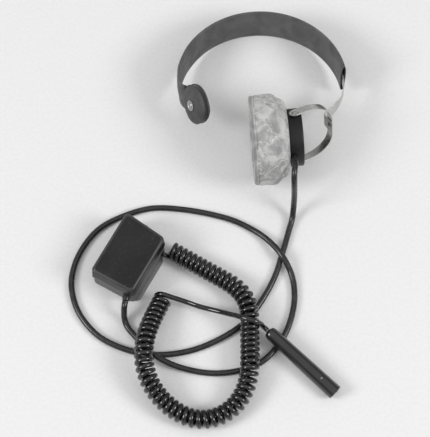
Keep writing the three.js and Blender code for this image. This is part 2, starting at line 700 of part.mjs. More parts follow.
function makeBoxBase() {
  const { length, width, height, cover, wall, lip, plate } = BOX;
  const top = height - cover - GAP;
  const floor = plate + GAP;
  const radii = [4, 4, 6.5, 5];
  const tray = loft([
    roundedRing(lip + 0.7, radii, floor),
    roundedRing(lip, radii, floor + 0.7),
    roundedRing(lip, radii, top),
  ]);
  const hollow = loft([roundedRing(lip + wall, radii, floor + 2.2), roundedRing(lip + wall, radii, top + 1)]);
  const front = vec(BOX.earGland).setX(-length / 2 + lip);
  const heading = vec(BOX.earHeading);
  const side = vec(BOX.curlyGland);
  const frontHole = bar(
    front.clone().addScaledVector(heading, -7),
    front.clone().addScaledVector(heading, 4),
    GLAND.sleeve + GAP, 16,
  );
  const across = (y) => side.clone().setY(y - width / 2);
  const sideHole = bar(across(-4), across(8), GLAND.body + GAP, 16);
  const screwHoles = BOX.screws.map(([x, y]) =>
    bar(new THREE.Vector3(x, y, -1), new THREE.Vector3(x, y, floor + 4), BOX.screwShank + GAP, 12));
  piece('box_base', cut(tray, hollow, frontHole, sideHole, ...screwHoles), 'boxGrey', boxFrame);
}

// Steel plate under the box, with a lip that stands out along the long right side.
function makeBoxPlate() {
  const { plate, screws } = BOX;
  const outline = new THREE.Shape();
  const corners = [[-29, 17], [-29, -23.4], [-25.4, -26.4], [18, -26.4], [24, -22.4], [29, -20], [29, 17]];
  corners.forEach(([x, y], i) => (i ? outline.lineTo(x, y) : outline.moveTo(x, y)));
  outline.closePath();
  for (const [x, y] of screws) {
    const hole = new THREE.Path();
    hole.absarc(x, y, BOX.screwHead + GAP, 0, 2 * Math.PI, true);
    outline.holes.push(hole);
  }
  const flat = { depth: plate, bevelEnabled: false, curveSegments: 7 };
  const sheet = tidy(new THREE.ExtrudeGeometry(outline, flat));
  piece('box_plate', sheet, 'steel', boxFrame);
  screws.forEach(([x, y], i) => {
    const frame = new THREE.Group();
    frame.position.set(x, y, 0);
    frame.rotation.y = -Math.PI / 2;
    boxFrame.add(frame);
    piece(`plate_screw_${i + 1}`, turned([
      [0.2, 0], [0.2, BOX.screwHead], [plate, BOX.screwHead], [plate, BOX.screwShank],
      [plate + 4.2, BOX.screwShank], [plate + 4.8, 0],
    ], 14), 'steel', frame);
  });
}

// Angle piece with a small foot on the near left corner, and the screw on the far short side.
function makeBoxTrim() {
  const { length, width, height, cover, lip } = BOX;
  const y = width / 2 - lip + GAP;
  const x = -length / 2 + lip;
  const upright = block([9, 1.5, 17.6], [x + 8.5, y + 0.75, 11.6]);
  const foot = block([3.6, 3.4, 2.6], [x + 5.8, y + 1.7, 2.9]);
  piece('corner_angle', join(upright, foot), 'boxBlack', boxFrame);
  const frame = new THREE.Group();
  frame.position.set(length / 2 + 0.75, 1.5, height - cover + 2.2);
  boxFrame.add(frame);
  piece('end_screw', turned([[0, 0], [0, 2.6], [0.7, 2.5], [1.3, 1.6], [1.4, 0]], 16), 'steel', frame);
}

// Coupling transformer inside the box: a laminated core with a winding round its middle limb.
function makeTransformer() {
  const [x, y, z] = [-3, 1, BOX.plate + 2.2 + 2 * GAP + 10.5 + 4.5];
  const windows = [-1, 1].map((s) => block([5.2, 40, 12.4], [x + s * 6.6, y, z]));
  piece('transformer_core', cut(block([27, 15, 21], [x, y, z]), ...windows), 'steel', boxFrame);
  const limb = block([8 + 2 * GAP, 15 + 2 * GAP, 20], [x, y, z]);
  piece('transformer_winding', cut(block([17.4, 24, 11.4], [x, y, z]), limb), 'fibre', boxFrame);
}

// ---------------------------------------------------------------------------------------------
// Cords. A group whose x axis points along a heading carries each gland.
// ---------------------------------------------------------------------------------------------

function facing(parent, at, heading) {
  const frame = new THREE.Group();
  frame.position.copy(at);
  frame.quaternion.setFromUnitVectors(new THREE.Vector3(1, 0, 0), heading);
  parent.add(frame);
  return frame;
}

function makeGlands() {
  const { length, width, lip, earGland, earHeading, curlyGland } = BOX;
  const front = facing(boxFrame, vec(earGland).setX(-length / 2 + lip), vec(earHeading).normalize());
  const side = facing(boxFrame, vec(curlyGland).setY(-width / 2 + lip), new THREE.Vector3(0, -1, 0));
  piece('ear_cord_gland', turned([
    [-5.2, 0], [-5.2, GLAND.sleeve], [1.6, GLAND.sleeve], [GLAND.out, GLAND.tip], [GLAND.out, 0],
  ], 16), 'rubber', front);
  piece('curly_cord_gland', disc(-4.6, -GLAND.sunk, GLAND.body, 16), 'rubber', side);
}

// Smooth tube through a list of points, with a fixed number of steps between neighbours.
class ThroughPoints extends THREE.CatmullRomCurve3 {
  getUtoTmapping(u) {
    return u;
  }
}

function cordTube(points, diameter, sides, stepsEach) {
  const curve = new ThroughPoints(points, false, 'centripetal');
  const outline = new THREE.Shape();
  for (let i = 0; i < sides; i++) {
    const a = (2 * Math.PI * (i + 0.5)) / sides;
    const corner = [(diameter / 2) * Math.cos(a), (diameter / 2) * Math.sin(a)];
    if (i === 0) outline.moveTo(...corner);
    else outline.lineTo(...corner);
  }
  outline.closePath();
  const steps = (points.length - 1) * stepsEach;
  return tidy(new THREE.ExtrudeGeometry(outline, { steps, extrudePath: curve, bevelEnabled: false }));
}

// Route of the earphone cord on the table; heights over 4 are where it lies on itself.
const LOW = 3.1;
const EAR_ROUTE = [
  [78.19, 36.69, 60.43], [78.2, 33.6, 61.9], [77.5, 29.6, 62.6], [77, 24.6, 61.7], [76.9, 20.2, 58.3],
  [77.2, 17, 51.5], [78.1, 13.6, 32], [78.1, 7.2, 13.4], [76.8, -2.6, 4.8], [73.2, -15, LOW],
  [67.6, -34.8, LOW],
  [57.7, -64.7, LOW], [38.6, -97.4, LOW], [21.4, -115.2, LOW], [-18.9, -136, LOW], [-57.4, -141.6, LOW],
  [-86.9, -136, LOW], [-113.5, -122.4, LOW], [-133.4, -98.4, LOW], [-141.1, -71.3, LOW], [-138.9, -51.4, LOW],
  [-131.5, -33.2, LOW], [-119.4, -16.3, LOW], [-105.3, -5.4, LOW], [-67.3, 9.0, LOW], [-33.8, 8.6, LOW],
  [12.4, -1.2, LOW], [33, -10.5, 3.3], [50.4, -23.1, 5.8], [65.7, -41.8, 9.5], [75.1, -59.7, 4.7],
  [78, -77.8, LOW], [76.1, -97.4, LOW], [66.3, -124.1, LOW], [43.6, -149.6, LOW], [4.2, -159.9, LOW],
  [-34.2, -154.4, 5], [-58.7, -143.2, 9.5], [-76.3, -124.8, 5.2], [-85.8, -112.6, 3.4], [-88.2, -105.4, 6.4],
  [-88.3, -100.4, 12.4], [-87.8, -95.9, 16.3], [-87.07, -91.62, 17],
];

// Middle line of the curly cord; it climbs over the earphone cord three times.
const COIL_LOW = 10.1;
const COIL_ROUTE = [
  [-49.85, -33.54, COIL_LOW], [-37.2, -40.6, COIL_LOW], [-16, -53.2, COIL_LOW], [4, -64.8, 10.2],
  [22.4, -76, 12],
  [31.8, -91.5, 16], [34, -106.5, 16.8], [33.5, -124, 15.8], [33.7, -141, 15.9], [33.5, -157, 16.9],
  [31.4, -174, 14.4], [22, -191.8, 10.5], [5.6, -204.4, COIL_LOW], [-14.4, -208.2, COIL_LOW],
  [-34.2, -202.2, 11], [-53.2, -187.6, 15.4], [-66.2, -167, 20.4], [-69.4, -143.2, 22.6],
  [-65.4, -121.6, 19.2], [-58, -102.4, 13], [-50.2, -86, COIL_LOW],
];

const TAIL_ROUTE = [
  [-44.69, -86.67, 17.13], [-40.4, -88.1, 17.05], [-29, -91, 13.8], [-14.6, -94.4, 8], [2, -99.8, 11.4],
  [17.5, -106.4, 20.2], [25.6, -110.5, 26.8], [32.6, -113.4, 29.2], [39.8, -115.2, 27.2],
  [44.5, -115.9, 20.8],
  [46.4, -116.8, 16.6], [48.2, -118.0, 14.9], [50.6, -120.27, 14.6],
];

// Even bend near a list of points: a uniform cubic B-spline that starts and ends on the outer ones.
class SoftLine extends THREE.Curve {
  constructor(points) {
    super();
    const mirror = (a, b) => a.clone().multiplyScalar(2).sub(b);
    this.points = [mirror(points[0], points[1]), ...points, mirror(points.at(-1), points.at(-2))];
  }

  getPoint(t) {
    const spans = this.points.length - 3;
    const k = Math.min(Math.floor(t * spans), spans - 1);
    const f = t * spans - k;
    const weights = [
      (1 - f) ** 3,
      3 * f ** 3 - 6 * f ** 2 + 4,
      -3 * f ** 3 + 3 * f ** 2 + 3 * f + 1,
      f ** 3,
    ];
    const point = new THREE.Vector3();
    weights.forEach((w, i) => point.addScaledVector(this.points[k + i], w / 6));
    return point;
  }
}

// Turns made by each point of a middle line. The curls close up on the inside of a bend, so their
// number grows at a rate of 1 - radius x curvature. Over the lead the cord is straight.
function curlyCount(middle, length, samples) {
  const { wire, radius, turns } = CURLY;
  const [lead, ramp] = [wire, 3];
  const tangents = [];
  for (let i = 0; i <= samples; i++) tangents.push(middle.getTangentAt(i / samples));
  const counts = [0];
  for (let i = 1; i <= samples; i++) {
    const bend = tangents[i].angleTo(tangents[i - 1]) / (length / samples);
    const start = smooth(THREE.MathUtils.clamp(((i - 0.5) * length / samples - lead) / ramp, 0, 1));
    counts.push(counts[i - 1] + start * (1 - radius * bend));
  }
  return counts.map((c) => (c * (turns - 0.25)) / counts[samples]);
}

// Helix round a middle line, with a straight end of one diameter before it and after it.
function curlyPoints() {
  const { wire, radius, turns, steps } = CURLY;
  const middle = new SoftLine(COIL_ROUTE.map(vec));
  middle.arcLengthDivisions = 2000;
  const length = middle.getLength();
  const samples = 2000;
  const counts = curlyCount(middle, length, samples);
  const place = (s, turn) => {
    const u = THREE.MathUtils.clamp(s / length, 0, 1);
    const along = middle.getTangentAt(u);
    const left = new THREE.Vector3(0, 0, 1).cross(along).normalize();
    const up = along.clone().cross(left);
    const a = Math.PI + 2 * Math.PI * turn;
    return middle.getPointAt(u)
      .addScaledVector(left, radius * Math.cos(a))
      .addScaledVector(up, radius * Math.sin(a));
  };
  const points = [place(0, 0), place(wire / 2, 0), place(wire, 0)];
  const count = Math.round((turns - 0.25) * steps);
  for (let i = 1, k = 1; i <= count; i++) {
    const turn = Math.min(i / steps, counts[samples]);
    while (k < samples && counts[k] < turn) k += 1;
    const part = (turn - counts[k - 1]) / (counts[k] - counts[k - 1]);
    points.push(place(((k - 1 + part) * length) / samples, turn));
  }
  const pitch = length / samples / (counts[samples] - counts[samples - 1]);
  const before = place(length - 0.001 * pitch, counts[samples] - 0.001);
  const leave = place(length, counts[samples]).sub(before).normalize();
  const top = points.at(-1);
  for (const reach of [wire / 2, wire]) points.push(top.clone().addScaledVector(leave, reach));
  return points;
}

// Smallest air between turns of a wound tube, measured between its middle points.
function leastGap(points, skip, diameter) {
  let least = Infinity;
  for (let i = 0; i < points.length; i++) {
    for (let j = i + skip; j < points.length; j++) least = Math.min(least, points[i].distanceTo(points[j]));
  }
  return least - diameter;
}

function makeCords() {
  piece('earphone_cord', cordTube(EAR_ROUTE.map(vec), EAR_CORD, CORD_SIDES, 2), 'rubber', table);
  const points = curlyPoints();
  piece('curly_cord', cordTube(points, CURLY.wire, CURLY.sides, 1), 'rubber', table);
  console.log(`least gap between curls ${leastGap(points, 6, CURLY.wire).toFixed(2)} mm`);
  piece('cord_tail', cordTube(TAIL_ROUTE.map(vec), CURLY.wire, CORD_SIDES, 2), 'rubber', table);
}

// ---------------------------------------------------------------------------------------------
// Cord socket, along its own x axis from the cord to the open end
// ---------------------------------------------------------------------------------------------

function makeSocket() {
  const { from, to, small, large, bore } = SOCKET;
  const axis = new THREE.Vector3().subVectors(vec(to), vec(from));
  const long = axis.length();
  const x = axis.normalize();
  const z = new THREE.Vector3(0, 0, 1).addScaledVector(x, -x.z).normalize();
  const frame = new THREE.Group();
  const basis = new THREE.Matrix4().makeBasis(x, new THREE.Vector3().crossVectors(z, x), z);
  frame.applyMatrix4(basis.setPosition(...from));
  table.add(frame);
  const hole = 3.0;
  const barrel = turned([
    [0, hole], [0, small - 2.6], [0.7, small - 1.1], [2.2, small - 0.2], [4, small], [long, large],
    [long, bore], [18, bore], [16, hole],
  ], 24, true);
  const screwAt = 68.3;
  const screwHole = bar(vec([screwAt, 0, 4]), vec([screwAt, 0, 12]), 1.2 + GAP, 10);
  piece('socket_barrel', cut(barrel, screwHole), 'bakelite', frame);
  piece('socket_gland', disc(-0.9, 12, hole - GAP, 14), 'rubber', frame);
  const insert = ring(63, 73, bore - GAP, 1.5, 20);
  const tapping = bar(vec([screwAt, 0, 3]), vec([screwAt, 0, 7]), 1.2 + GAP, 10);
  piece('socket_insert', cut(insert, tapping), 'fibre', frame);
  piece('socket_sleeve', ring(77.5, long - 0.6, bore - GAP, 3.4, 20), 'nickel', frame);
  const up = facing(frame, new THREE.Vector3(screwAt, 0, 3.6), new THREE.Vector3(0, 0, 1));
  piece('set_screw', turned([[0, 0], [0, 1.2], [3.3, 1.2], [3.6, 0.8], [3.6, 0]], 10), 'nickel', up);
}

// ---------------------------------------------------------------------------------------------

makeSleeve();
makeSpring();
makeKeeper();
makeTemplePad();
makeSlide();
makeYoke();
makePivots();
makeHousing();
makeCap();
makeReceiverInside();
makeCushion();
makeGrommet();
makeBoxCover();
makeBoxBase();
makeBoxPlate();
makeBoxTrim();
makeTransformer();
makeGlands();
makeCords();
makeSocket();

export default group;
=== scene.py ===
# %% [markdown]
# # A single-ear headset on a table
# The headset has a padded receiver in a yoke, a sprung band with a temple pad, a cord to a small
# box, and a curly cord to a cord socket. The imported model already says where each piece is, so
# this lesson only redraws the pieces more finely and gives each one its real finish.

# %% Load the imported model
import math
import bmesh
import bpy
import numpy as np
from mathutils import Matrix


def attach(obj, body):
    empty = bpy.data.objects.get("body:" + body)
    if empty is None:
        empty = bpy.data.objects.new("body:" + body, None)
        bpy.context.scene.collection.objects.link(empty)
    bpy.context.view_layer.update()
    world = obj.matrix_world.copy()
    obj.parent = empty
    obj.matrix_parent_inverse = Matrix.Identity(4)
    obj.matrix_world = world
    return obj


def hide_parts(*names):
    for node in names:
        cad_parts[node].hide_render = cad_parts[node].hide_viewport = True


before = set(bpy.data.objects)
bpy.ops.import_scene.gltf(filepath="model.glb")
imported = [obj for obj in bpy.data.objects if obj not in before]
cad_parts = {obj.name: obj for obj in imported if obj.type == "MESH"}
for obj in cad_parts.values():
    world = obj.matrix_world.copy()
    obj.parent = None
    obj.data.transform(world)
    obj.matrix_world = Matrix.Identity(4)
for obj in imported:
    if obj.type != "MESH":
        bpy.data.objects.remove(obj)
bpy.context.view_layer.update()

# %% [markdown]
# ## Frames
# The headset is measured in millimetres on a table. The band, the receiver and the yoke each
# have a frame of their own, so a shape can be written where it is simplest and then carried to
# its place. Writing every shape straight in table coordinates would work too, but nobody could
# read the numbers again.

# %% Frames of the band, the receiver, the yoke and the box
MM = 0.001
MIDDLE = np.array([5.2, 61.8, 0.0])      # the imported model's origin, on the table
UP = np.array([0.0, 0.0, 1.0])


def unit(vectors):
    """Vectors divided by their own lengths."""
    vectors = np.asarray(vectors, float)
    return vectors / np.linalg.norm(vectors, axis=-1, keepdims=True)


def turning(axis, degrees):
    """Rotation about one axis: cosine and sine in the plane of the other two."""
    cos, sin = math.cos(math.radians(degrees)), math.sin(math.radians(degrees))
    i, j = {"x": (1, 2), "y": (2, 0), "z": (0, 1)}[axis]
    turn = np.eye(3)
    turn[i, i] = turn[j, j] = cos
    turn[i, j], turn[j, i] = -sin, sin
    return turn


def carried(points, place):
    """Points of a frame in table coordinates: turned by its matrix, then moved to its origin."""
    turn, origin = place
    return np.asarray(points, float) @ turn.T + origin


def smooth(t):
    """Share from 0 to 1 with flat ends: t t (3 - 2 t)."""
    t = np.clip(t, 0, 1)
    return t * t * (3 - 2 * t)


# A frame is a turning matrix and an origin. The band leans back a little as it stands on its
# edge, the receiver is turned further in it, and the yoke turns on the receiver.
ARCH = (turning("x", -9.75), np.array([46.5, 123.9, 33.992]))
cup_turn = ARCH[0] @ turning("z", 3.9) @ turning("y", -2.2) @ turning("x", -17.9)
CUP = (cup_turn, np.array([79.8, 68.8, 45.84]))
YOKE = (CUP[0] @ turning("z", 24), CUP[1])
BOX = (turning("z", 60.8), np.array([-83.4, -49.5, 0.0]))
print("the receiver looks along", np.round(-CUP[0][:, 0], 3))

# %% [markdown]
# ## Surfaces from grids
# Every new piece is a grid of points: one direction runs round a section, the other along a
# path. numpy works the whole grid out at once. Blender's own primitives and the Spin tool could
# make some of them, but a formula keeps the real sizes in view and gives clean quads.

# %% Mesh helpers
SHARP_EDGE = 38      # degrees between two faces, past which their edge stays sharp


def grid_faces(rows, columns, around=True, along=False):
    """Quads between neighbours on a grid; around joins its last column to the first, and along
    its last row to the first."""
    i = np.arange(rows if along else rows - 1)[:, None]
    j = np.arange(columns if around else columns - 1)[None, :]
    below, beside = (i + 1) % rows * columns, (j + 1) % columns
    quads = [i * columns + j, i * columns + beside, below + beside, below + j]
    return np.stack(quads, -1).reshape(-1, 4)


def weld(mesh, gap=2e-6):
    """Merge doubles, so that poles and seams close, and turn every face outwards."""
    work = bmesh.new()
    work.from_mesh(mesh)
    bmesh.ops.remove_doubles(work, verts=work.verts, dist=gap)
    bmesh.ops.dissolve_degenerate(work, edges=work.edges, dist=1e-7)
    bmesh.ops.recalc_face_normals(work, faces=work.faces)
    work.to_mesh(mesh)
    work.free()


def shade(mesh, sharp):
    """Smooth faces, with edges kept sharp where neighbours meet at more than this many degrees."""
    mesh.polygons.foreach_set("use_smooth", np.ones(len(mesh.polygons), bool))
    mesh.set_sharp_from_angle(angle=math.radians(sharp))


def on_row(points):
    """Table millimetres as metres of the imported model's frame."""
    return (points - MIDDLE) * MM


def solid(name, grid, caps=True, along=False, sharp=SHARP_EDGE):
    """Closed piece from a grid of table points: caps fill its first and last ring, along joins
    them instead."""
    rows, columns = grid.shape[:2]
    faces = grid_faces(rows, columns, along=along).tolist()
    if caps and not along:
        faces += [list(range(columns)), list(range((rows - 1) * columns, rows * columns))[::-1]]
    mesh = bpy.data.meshes.new(name)
    mesh.from_pydata(on_row(grid.reshape(-1, 3)).tolist(), [], faces)
    weld(mesh)
    shade(mesh, sharp)
    made = bpy.data.objects.new(name, mesh)
    bpy.context.scene.collection.objects.link(made)
    return made


def full_circle(steps):
    """Angles of a full turn in equal steps, without its last, which is the first again."""
    return np.linspace(0, 2 * np.pi, steps, endpoint=False)


def ring_points(x, r, a):
    """Points round a frame's x axis: x and the radius r at the angle a give (x, r sin a, r cos a)."""
    return np.stack([x + 0 * a, r * np.sin(a), r * np.cos(a)], -1)


def turned(name, profile, place, steps):
    """Closed piece turned about its frame's x axis. Its profile, of places (x, r), starts and ends
    on the axis, or else is closed on itself."""
    if profile[0][1] > 0:
        profile = profile + profile[:1]
    x, r = np.asarray(profile, float).T[:, None, :]
    grid = carried(ring_points(x, r, full_circle(steps)[:, None]), place)
    return solid(name, grid.transpose(1, 0, 2), caps=False)


def finish_with(made, body, material, *nodes, slot):
    """Give a piece its material and its body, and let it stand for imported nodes."""
    made.data.materials.clear()
    made.data.materials.append(material)
    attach(made, body)
    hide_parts(*nodes)
    print(f"{made.name}: {len(made.data.polygons)} faces, {material.name}")
    return made


def applied(made):
    """Turn a piece's modifiers into its own mesh."""
    graph = bpy.context.evaluated_depsgraph_get()
    mesh = bpy.data.meshes.new_from_object(made.evaluated_get(graph))
    made.modifiers.clear()
    made.data = mesh


def points_of(made):
    """All of a mesh's points, as rows of x, y and z in metres."""
    flat = np.empty(len(made.data.vertices) * 3)
    made.data.vertices.foreach_get("co", flat)
    return flat.reshape(-1, 3)


def marked(made, name, values):
    """Store a number at each point of a mesh, for its material to read by that name."""
    made.data.attributes.new(name, "FLOAT", "POINT").data.foreach_set("value", values)


def combined(made, operation, other):
    """Cut another solid out of a piece, or join it on; the other solid is used up."""
    step = made.modifiers.new(operation, "BOOLEAN")
    step.operation, step.solver, step.object = operation, "EXACT", other
    applied(made)
    bpy.data.objects.remove(other)


def drilled(made, *holes):
    """Cut round holes: each is (frame, x from, x to, radius), along the frame's x axis."""
    for place, start, end, radius in holes:
        drill = turned("drill", [(start, 0), (start, radius), (end, radius), (end, 0)], place, 32)
        combined(made, "DIFFERENCE", drill)
    shade(made.data, SHARP_EDGE)


def along_axis(place, point, direction):
    """Frame at a point of another frame, with its x axis along a direction of that frame. Its z
    axis is square to x and to a fixed slanted line, which no axis used here runs along."""
    x = unit(direction)
    z = unit(np.cross(x, [0.3, 0.9, 0.1]))
    return (place[0] @ np.stack([x, np.cross(z, x), z], 1), carried(point, place))


print("mesh helpers ready")

# %% [markdown]
# ## Colours and shader nodes
# Colours are picked as sRGB hex values, as they look on a screen, but a shader works in linear
# light. One function turns one into the other. Another adds a node with its settings and links,
# so that a material reads as a short list of what lies on what.

# %% Colour and node helpers
def srgb(code):
    """Linear colour of a hex value: c / 12.92 below 0.04045, else ((c + 0.055) / 1.055) ** 2.4."""
    c = np.array([int(code[i:i + 2], 16) for i in (1, 3, 5)]) / 255
    linear = np.where(c <= 0.04045, c / 12.92, ((c + 0.055) / 1.055) ** 2.4)
    return (*linear.tolist(), 1.0)


def add(material, kind, sockets=None, links=None, **settings):
    """Add a shader node, set its properties and sockets, and link other outputs into it."""
    tree = material.node_tree
    node = tree.nodes.new("ShaderNode" + kind)
    for key, value in settings.items():
        setattr(node, key, value)
    for key, value in (sockets or {}).items():
        node.inputs[key].default_value = value
    for key, output in (links or {}).items():
        tree.links.new(output, node.inputs[key])
    return node


def blank(name):
    """New material with no surface yet, and the coordinates of the object that wears it."""
    material = bpy.data.materials.new(name)
    material.use_nodes = True
    material.node_tree.nodes.clear()
    place = add(material, "TexCoord").outputs["Object"]
    return material, place


def surfaced(material, sockets, links):
    """Principled surface with these sockets and links, joined to the output."""
    shader = add(material, "BsdfPrincipled", sockets, links)
    add(material, "OutputMaterial", links={"Surface": shader.outputs["BSDF"]})
    return material


def noise(material, place, size_mm, detail, rough=0.5, distort=0.0):
    """Noise whose blotches are about size_mm across: its scale is one over that length in metres."""
    sockets = {"Scale": 1 / (size_mm * MM), "Detail": detail, "Roughness": rough, "Distortion": distort}
    return add(material, "TexNoise", sockets, {"Vector": place}).outputs["Fac"]


def between(material, factor, low, high, low_at=0.0, high_at=1.0):
    """Colour or number that goes from low to high as the factor goes from low_at to high_at."""
    share = add(material, "MapRange", {"From Min": low_at, "From Max": high_at}, {"Value": factor},
                interpolation_type="SMOOTHSTEP").outputs["Result"]
    if isinstance(low, str):
        ends = {6: srgb(low), 7: srgb(high)}
        return add(material, "Mix", ends, {0: share}, data_type="RGBA").outputs[2]
    return add(material, "Mix", {2: low, 3: high}, {0: share}, data_type="FLOAT").outputs[0]


def laid_over(material, share, colour, under):
    """A colour laid over another output, as thickly as the share says."""
    mix = add(material, "Mix", {7: srgb(colour)}, {0: share, 6: under}, data_type="RGBA")
    return mix.outputs[2]


def times(material, factor, other):
    """Product of an output and a number or another output."""
    number = isinstance(other, float)
    sockets, links = ({1: other}, {0: factor}) if number else ({}, {0: factor, 1: other})
    return add(material, "Math", sockets, links, operation="MULTIPLY").outputs[0]


def bumped(material, height, depth_mm, strength=1.0, under=None):
    """Normal from a height: depth_mm is how deep its whole range is on the real surface, and
    under is a coarser bump that it lies on."""
    links = {"Height": height}
    if under:
        links["Normal"] = under
    sockets = {"Strength": strength, "Distance": depth_mm * MM}
    return add(material, "Bump", sockets, links).outputs["Normal"]


print("white is", srgb("#ffffff"), "and mid grey", round(srgb("#808080")[0], 3))

# %% [markdown]
# ## Camera
# The photograph looks down on the table at about 70 degrees from 1.6 m, with a long lens: the
# near and far ends of the headset hardly differ in scale. A wide lens close by would show the
# same width but would splay the box and the receiver.

# %% Camera
LOOK_DOWN = 70.0                # degrees
DISTANCE = 1.6                  # metres
SENSOR = 36                     # mm
IMAGE_LONG_SIDE = 437           # pixels, and each is one millimetre at the camera's target
camera_data = bpy.data.cameras.new("camera")
camera_data.sensor_width = SENSOR
camera_data.lens = DISTANCE / MM * SENSOR / IMAGE_LONG_SIDE
camera = bpy.data.objects.new("camera", camera_data)
bpy.context.scene.collection.objects.link(camera)
tilt = math.radians(LOOK_DOWN)
target = -MIDDLE * MM
camera.location = target + DISTANCE * np.array([0, -math.cos(tilt), math.sin(tilt)])
camera.rotation_euler = (math.radians(90 - LOOK_DOWN), 0, 0)
bpy.context.scene.camera = camera
print("lens", round(camera_data.lens, 1), "mm, camera at", np.round(camera.location, 3))

# %% [markdown]
# ## Cord jacket
# Both cords have a smooth black jacket of plasticised PVC, extruded. The earphone cord's has
# gone satin with age. The curly cord's is still polished, so each curl shows both lamps as
# small bright dots; a clear coat gives it that second, sharper gloss. Real jackets also carry
# faint dust and handling marks, so the roughness varies a little.

# %% Cord jacket material
def cord_jacket(name, dark, light, gloss, specular=0.5, coat=0.0):
    """Plasticised PVC, extruded: smooth and black, with dust in soft patches that also dull it."""
    material, place = blank(name)
    dust = noise(material, place, 9, 4, 0.6)
    grain = noise(material, place, 1.1, 2)
    colour = between(material, dust, dark, light, 0.35, 0.75)
    rough = between(material, dust, gloss, gloss + 0.13, 0.3, 0.75)
    return surfaced(material, {"IOR": 1.53, "Specular IOR Level": specular, "Coat Weight": coat,
                               "Coat Roughness": 0.1, "Coat IOR": 1.6},
                    {"Base Color": colour, "Roughness": rough, "Normal": bumped(material, grain, 0.03)})


JACKET = cord_jacket("extruded_pvc_jacket", "#1b1b1b", "#2a2a2a", 0.2)
CURLY_JACKET = cord_jacket("polished_pvc_jacket", "#0e0e0e", "#1a1a1a", 0.12, 0.12, 1.0)
print("made", JACKET.name, CURLY_JACKET.name)

# %% [markdown]
# ## Earphone cord
# A straight cord of 5.9 mm leaves the receiver through a grommet, drops to the table, goes once
# round the whole set and comes back into the near short side of the box. Blender's curve tool
# could draw it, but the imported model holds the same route, and a tube worked out from the same
# points lies exactly where that solid lies.

# %% Smooth lines and tubes
def through_points(points, steps):
    """Line through points: on each span a cubic whose end slopes follow the square root of the
    distances to the neighbours (centripetal), sampled in equal steps."""
    points = np.asarray(points, float)
    p = np.vstack([2 * points[0] - points[1], points, 2 * points[-1] - points[-2]])
    d = np.sqrt(np.linalg.norm(np.diff(p, axis=0), axis=1))[:, None]
    d0, d1, d2 = d[:-2], d[1:-1], d[2:]
    p0, p1, p2, p3 = p[:-3], p[1:-2], p[2:-1], p[3:]
    slope1 = d1 * ((p1 - p0) / d0 - (p2 - p0) / (d0 + d1) + (p2 - p1) / d1)
    slope2 = d1 * ((p2 - p1) / d1 - (p3 - p1) / (d1 + d2) + (p3 - p2) / d2)
    t = (np.arange(steps) / steps)[None, :, None]
    spans = (p1[:, None] * (2 * t**3 - 3 * t**2 + 1) + slope1[:, None] * (t**3 - 2 * t**2 + t)
             + p2[:, None] * (3 * t**2 - 2 * t**3) + slope2[:, None] * (t**3 - t**2))
    return np.vstack([spans.reshape(-1, 3), points[-1:]])


def tube(path, radius, sides, reference):
    """Rings round a path: centre + radius (cos a first + sin a second), where first is the
    reference made square to the path and second is square to both."""
    heading = unit(np.gradient(path, axis=0))
    first = reference - np.sum(reference * heading, -1, keepdims=True) * heading
    first = unit(first)[:, None]
    second = np.cross(heading[:, None], first)
    a = full_circle(sides)[None, :, None]
    return path[:, None] + radius * (np.cos(a) * first + np.sin(a) * second)


def line_length(path):
    """Sum of the distances between neighbours."""
    return float(np.linalg.norm(np.diff(path, axis=0), axis=1).sum())


print("line helpers ready")

# %% Earphone cord
EAR_CORD = 5.9      # diameter, mm
LOW = 3.1           # height of the cord's middle where it lies on the table
ear_route = [
    [78.19, 36.69, 60.43], [78.2, 33.6, 61.9], [77.5, 29.6, 62.6], [77, 24.6, 61.7], [76.9, 20.2, 58.3],
    [77.2, 17, 51.5], [78.1, 13.6, 32], [78.1, 7.2, 13.4], [76.8, -2.6, 4.8], [73.2, -15, LOW],
    [67.6, -34.8, LOW], [57.7, -64.7, LOW], [38.6, -97.4, LOW], [21.4, -115.2, LOW], [-18.9, -136, LOW],
    [-57.4, -141.6, LOW], [-86.9, -136, LOW], [-113.5, -122.4, LOW], [-133.4, -98.4, LOW],
    [-141.1, -71.3, LOW], [-138.9, -51.4, LOW], [-131.5, -33.2, LOW], [-119.4, -16.3, LOW],
    [-105.3, -5.4, LOW], [-67.3, 9.0, LOW], [-33.8, 8.6, LOW], [12.4, -1.2, LOW], [33, -10.5, 3.3],
    [50.4, -23.1, 5.8], [65.7, -41.8, 9.5], [75.1, -59.7, 4.7], [78, -77.8, LOW], [76.1, -97.4, LOW],
    [66.3, -124.1, LOW], [43.6, -149.6, LOW], [4.2, -159.9, LOW], [-34.2, -154.4, 5],
    [-58.7, -143.2, 9.5], [-76.3, -124.8, 5.2], [-85.8, -112.6, 3.4], [-88.2, -105.4, 6.4],
    [-88.3, -100.4, 12.4], [-87.8, -95.9, 16.3], [-87.07, -91.62, 17],
]
ear_path = through_points(ear_route, 14)
side = np.cross(np.gradient(ear_path, axis=0), UP)
ear_cord = solid("earphone_lead", tube(ear_path, EAR_CORD / 2, 20, side))
finish_with(ear_cord, "receiver", JACKET, "earphone_cord", slot="cord_rubber")
print("earphone cord", round(line_length(ear_path)), "mm")

# %% [markdown]
# ## Curly cord
# The curly cord is a jacketed cord wound tight on a rod and heated, so that it keeps 65 turns.
# Its middle line is soft and even, and climbs over the earphone cord where it lies on it. A
# screw modifier on a circle makes a straight coil, and a curve modifier bends it, but that
# squeezes the wire on the inside of each bend. Here the turns grow with the distance along the
# middle line, more slowly where it bends, so the curls never run into each other and the wire
# stays round. Its last end runs on, straight, to the cord socket, as one unbroken cord.

# %% Curly cord
WIRE = 5.0          # diameter, mm
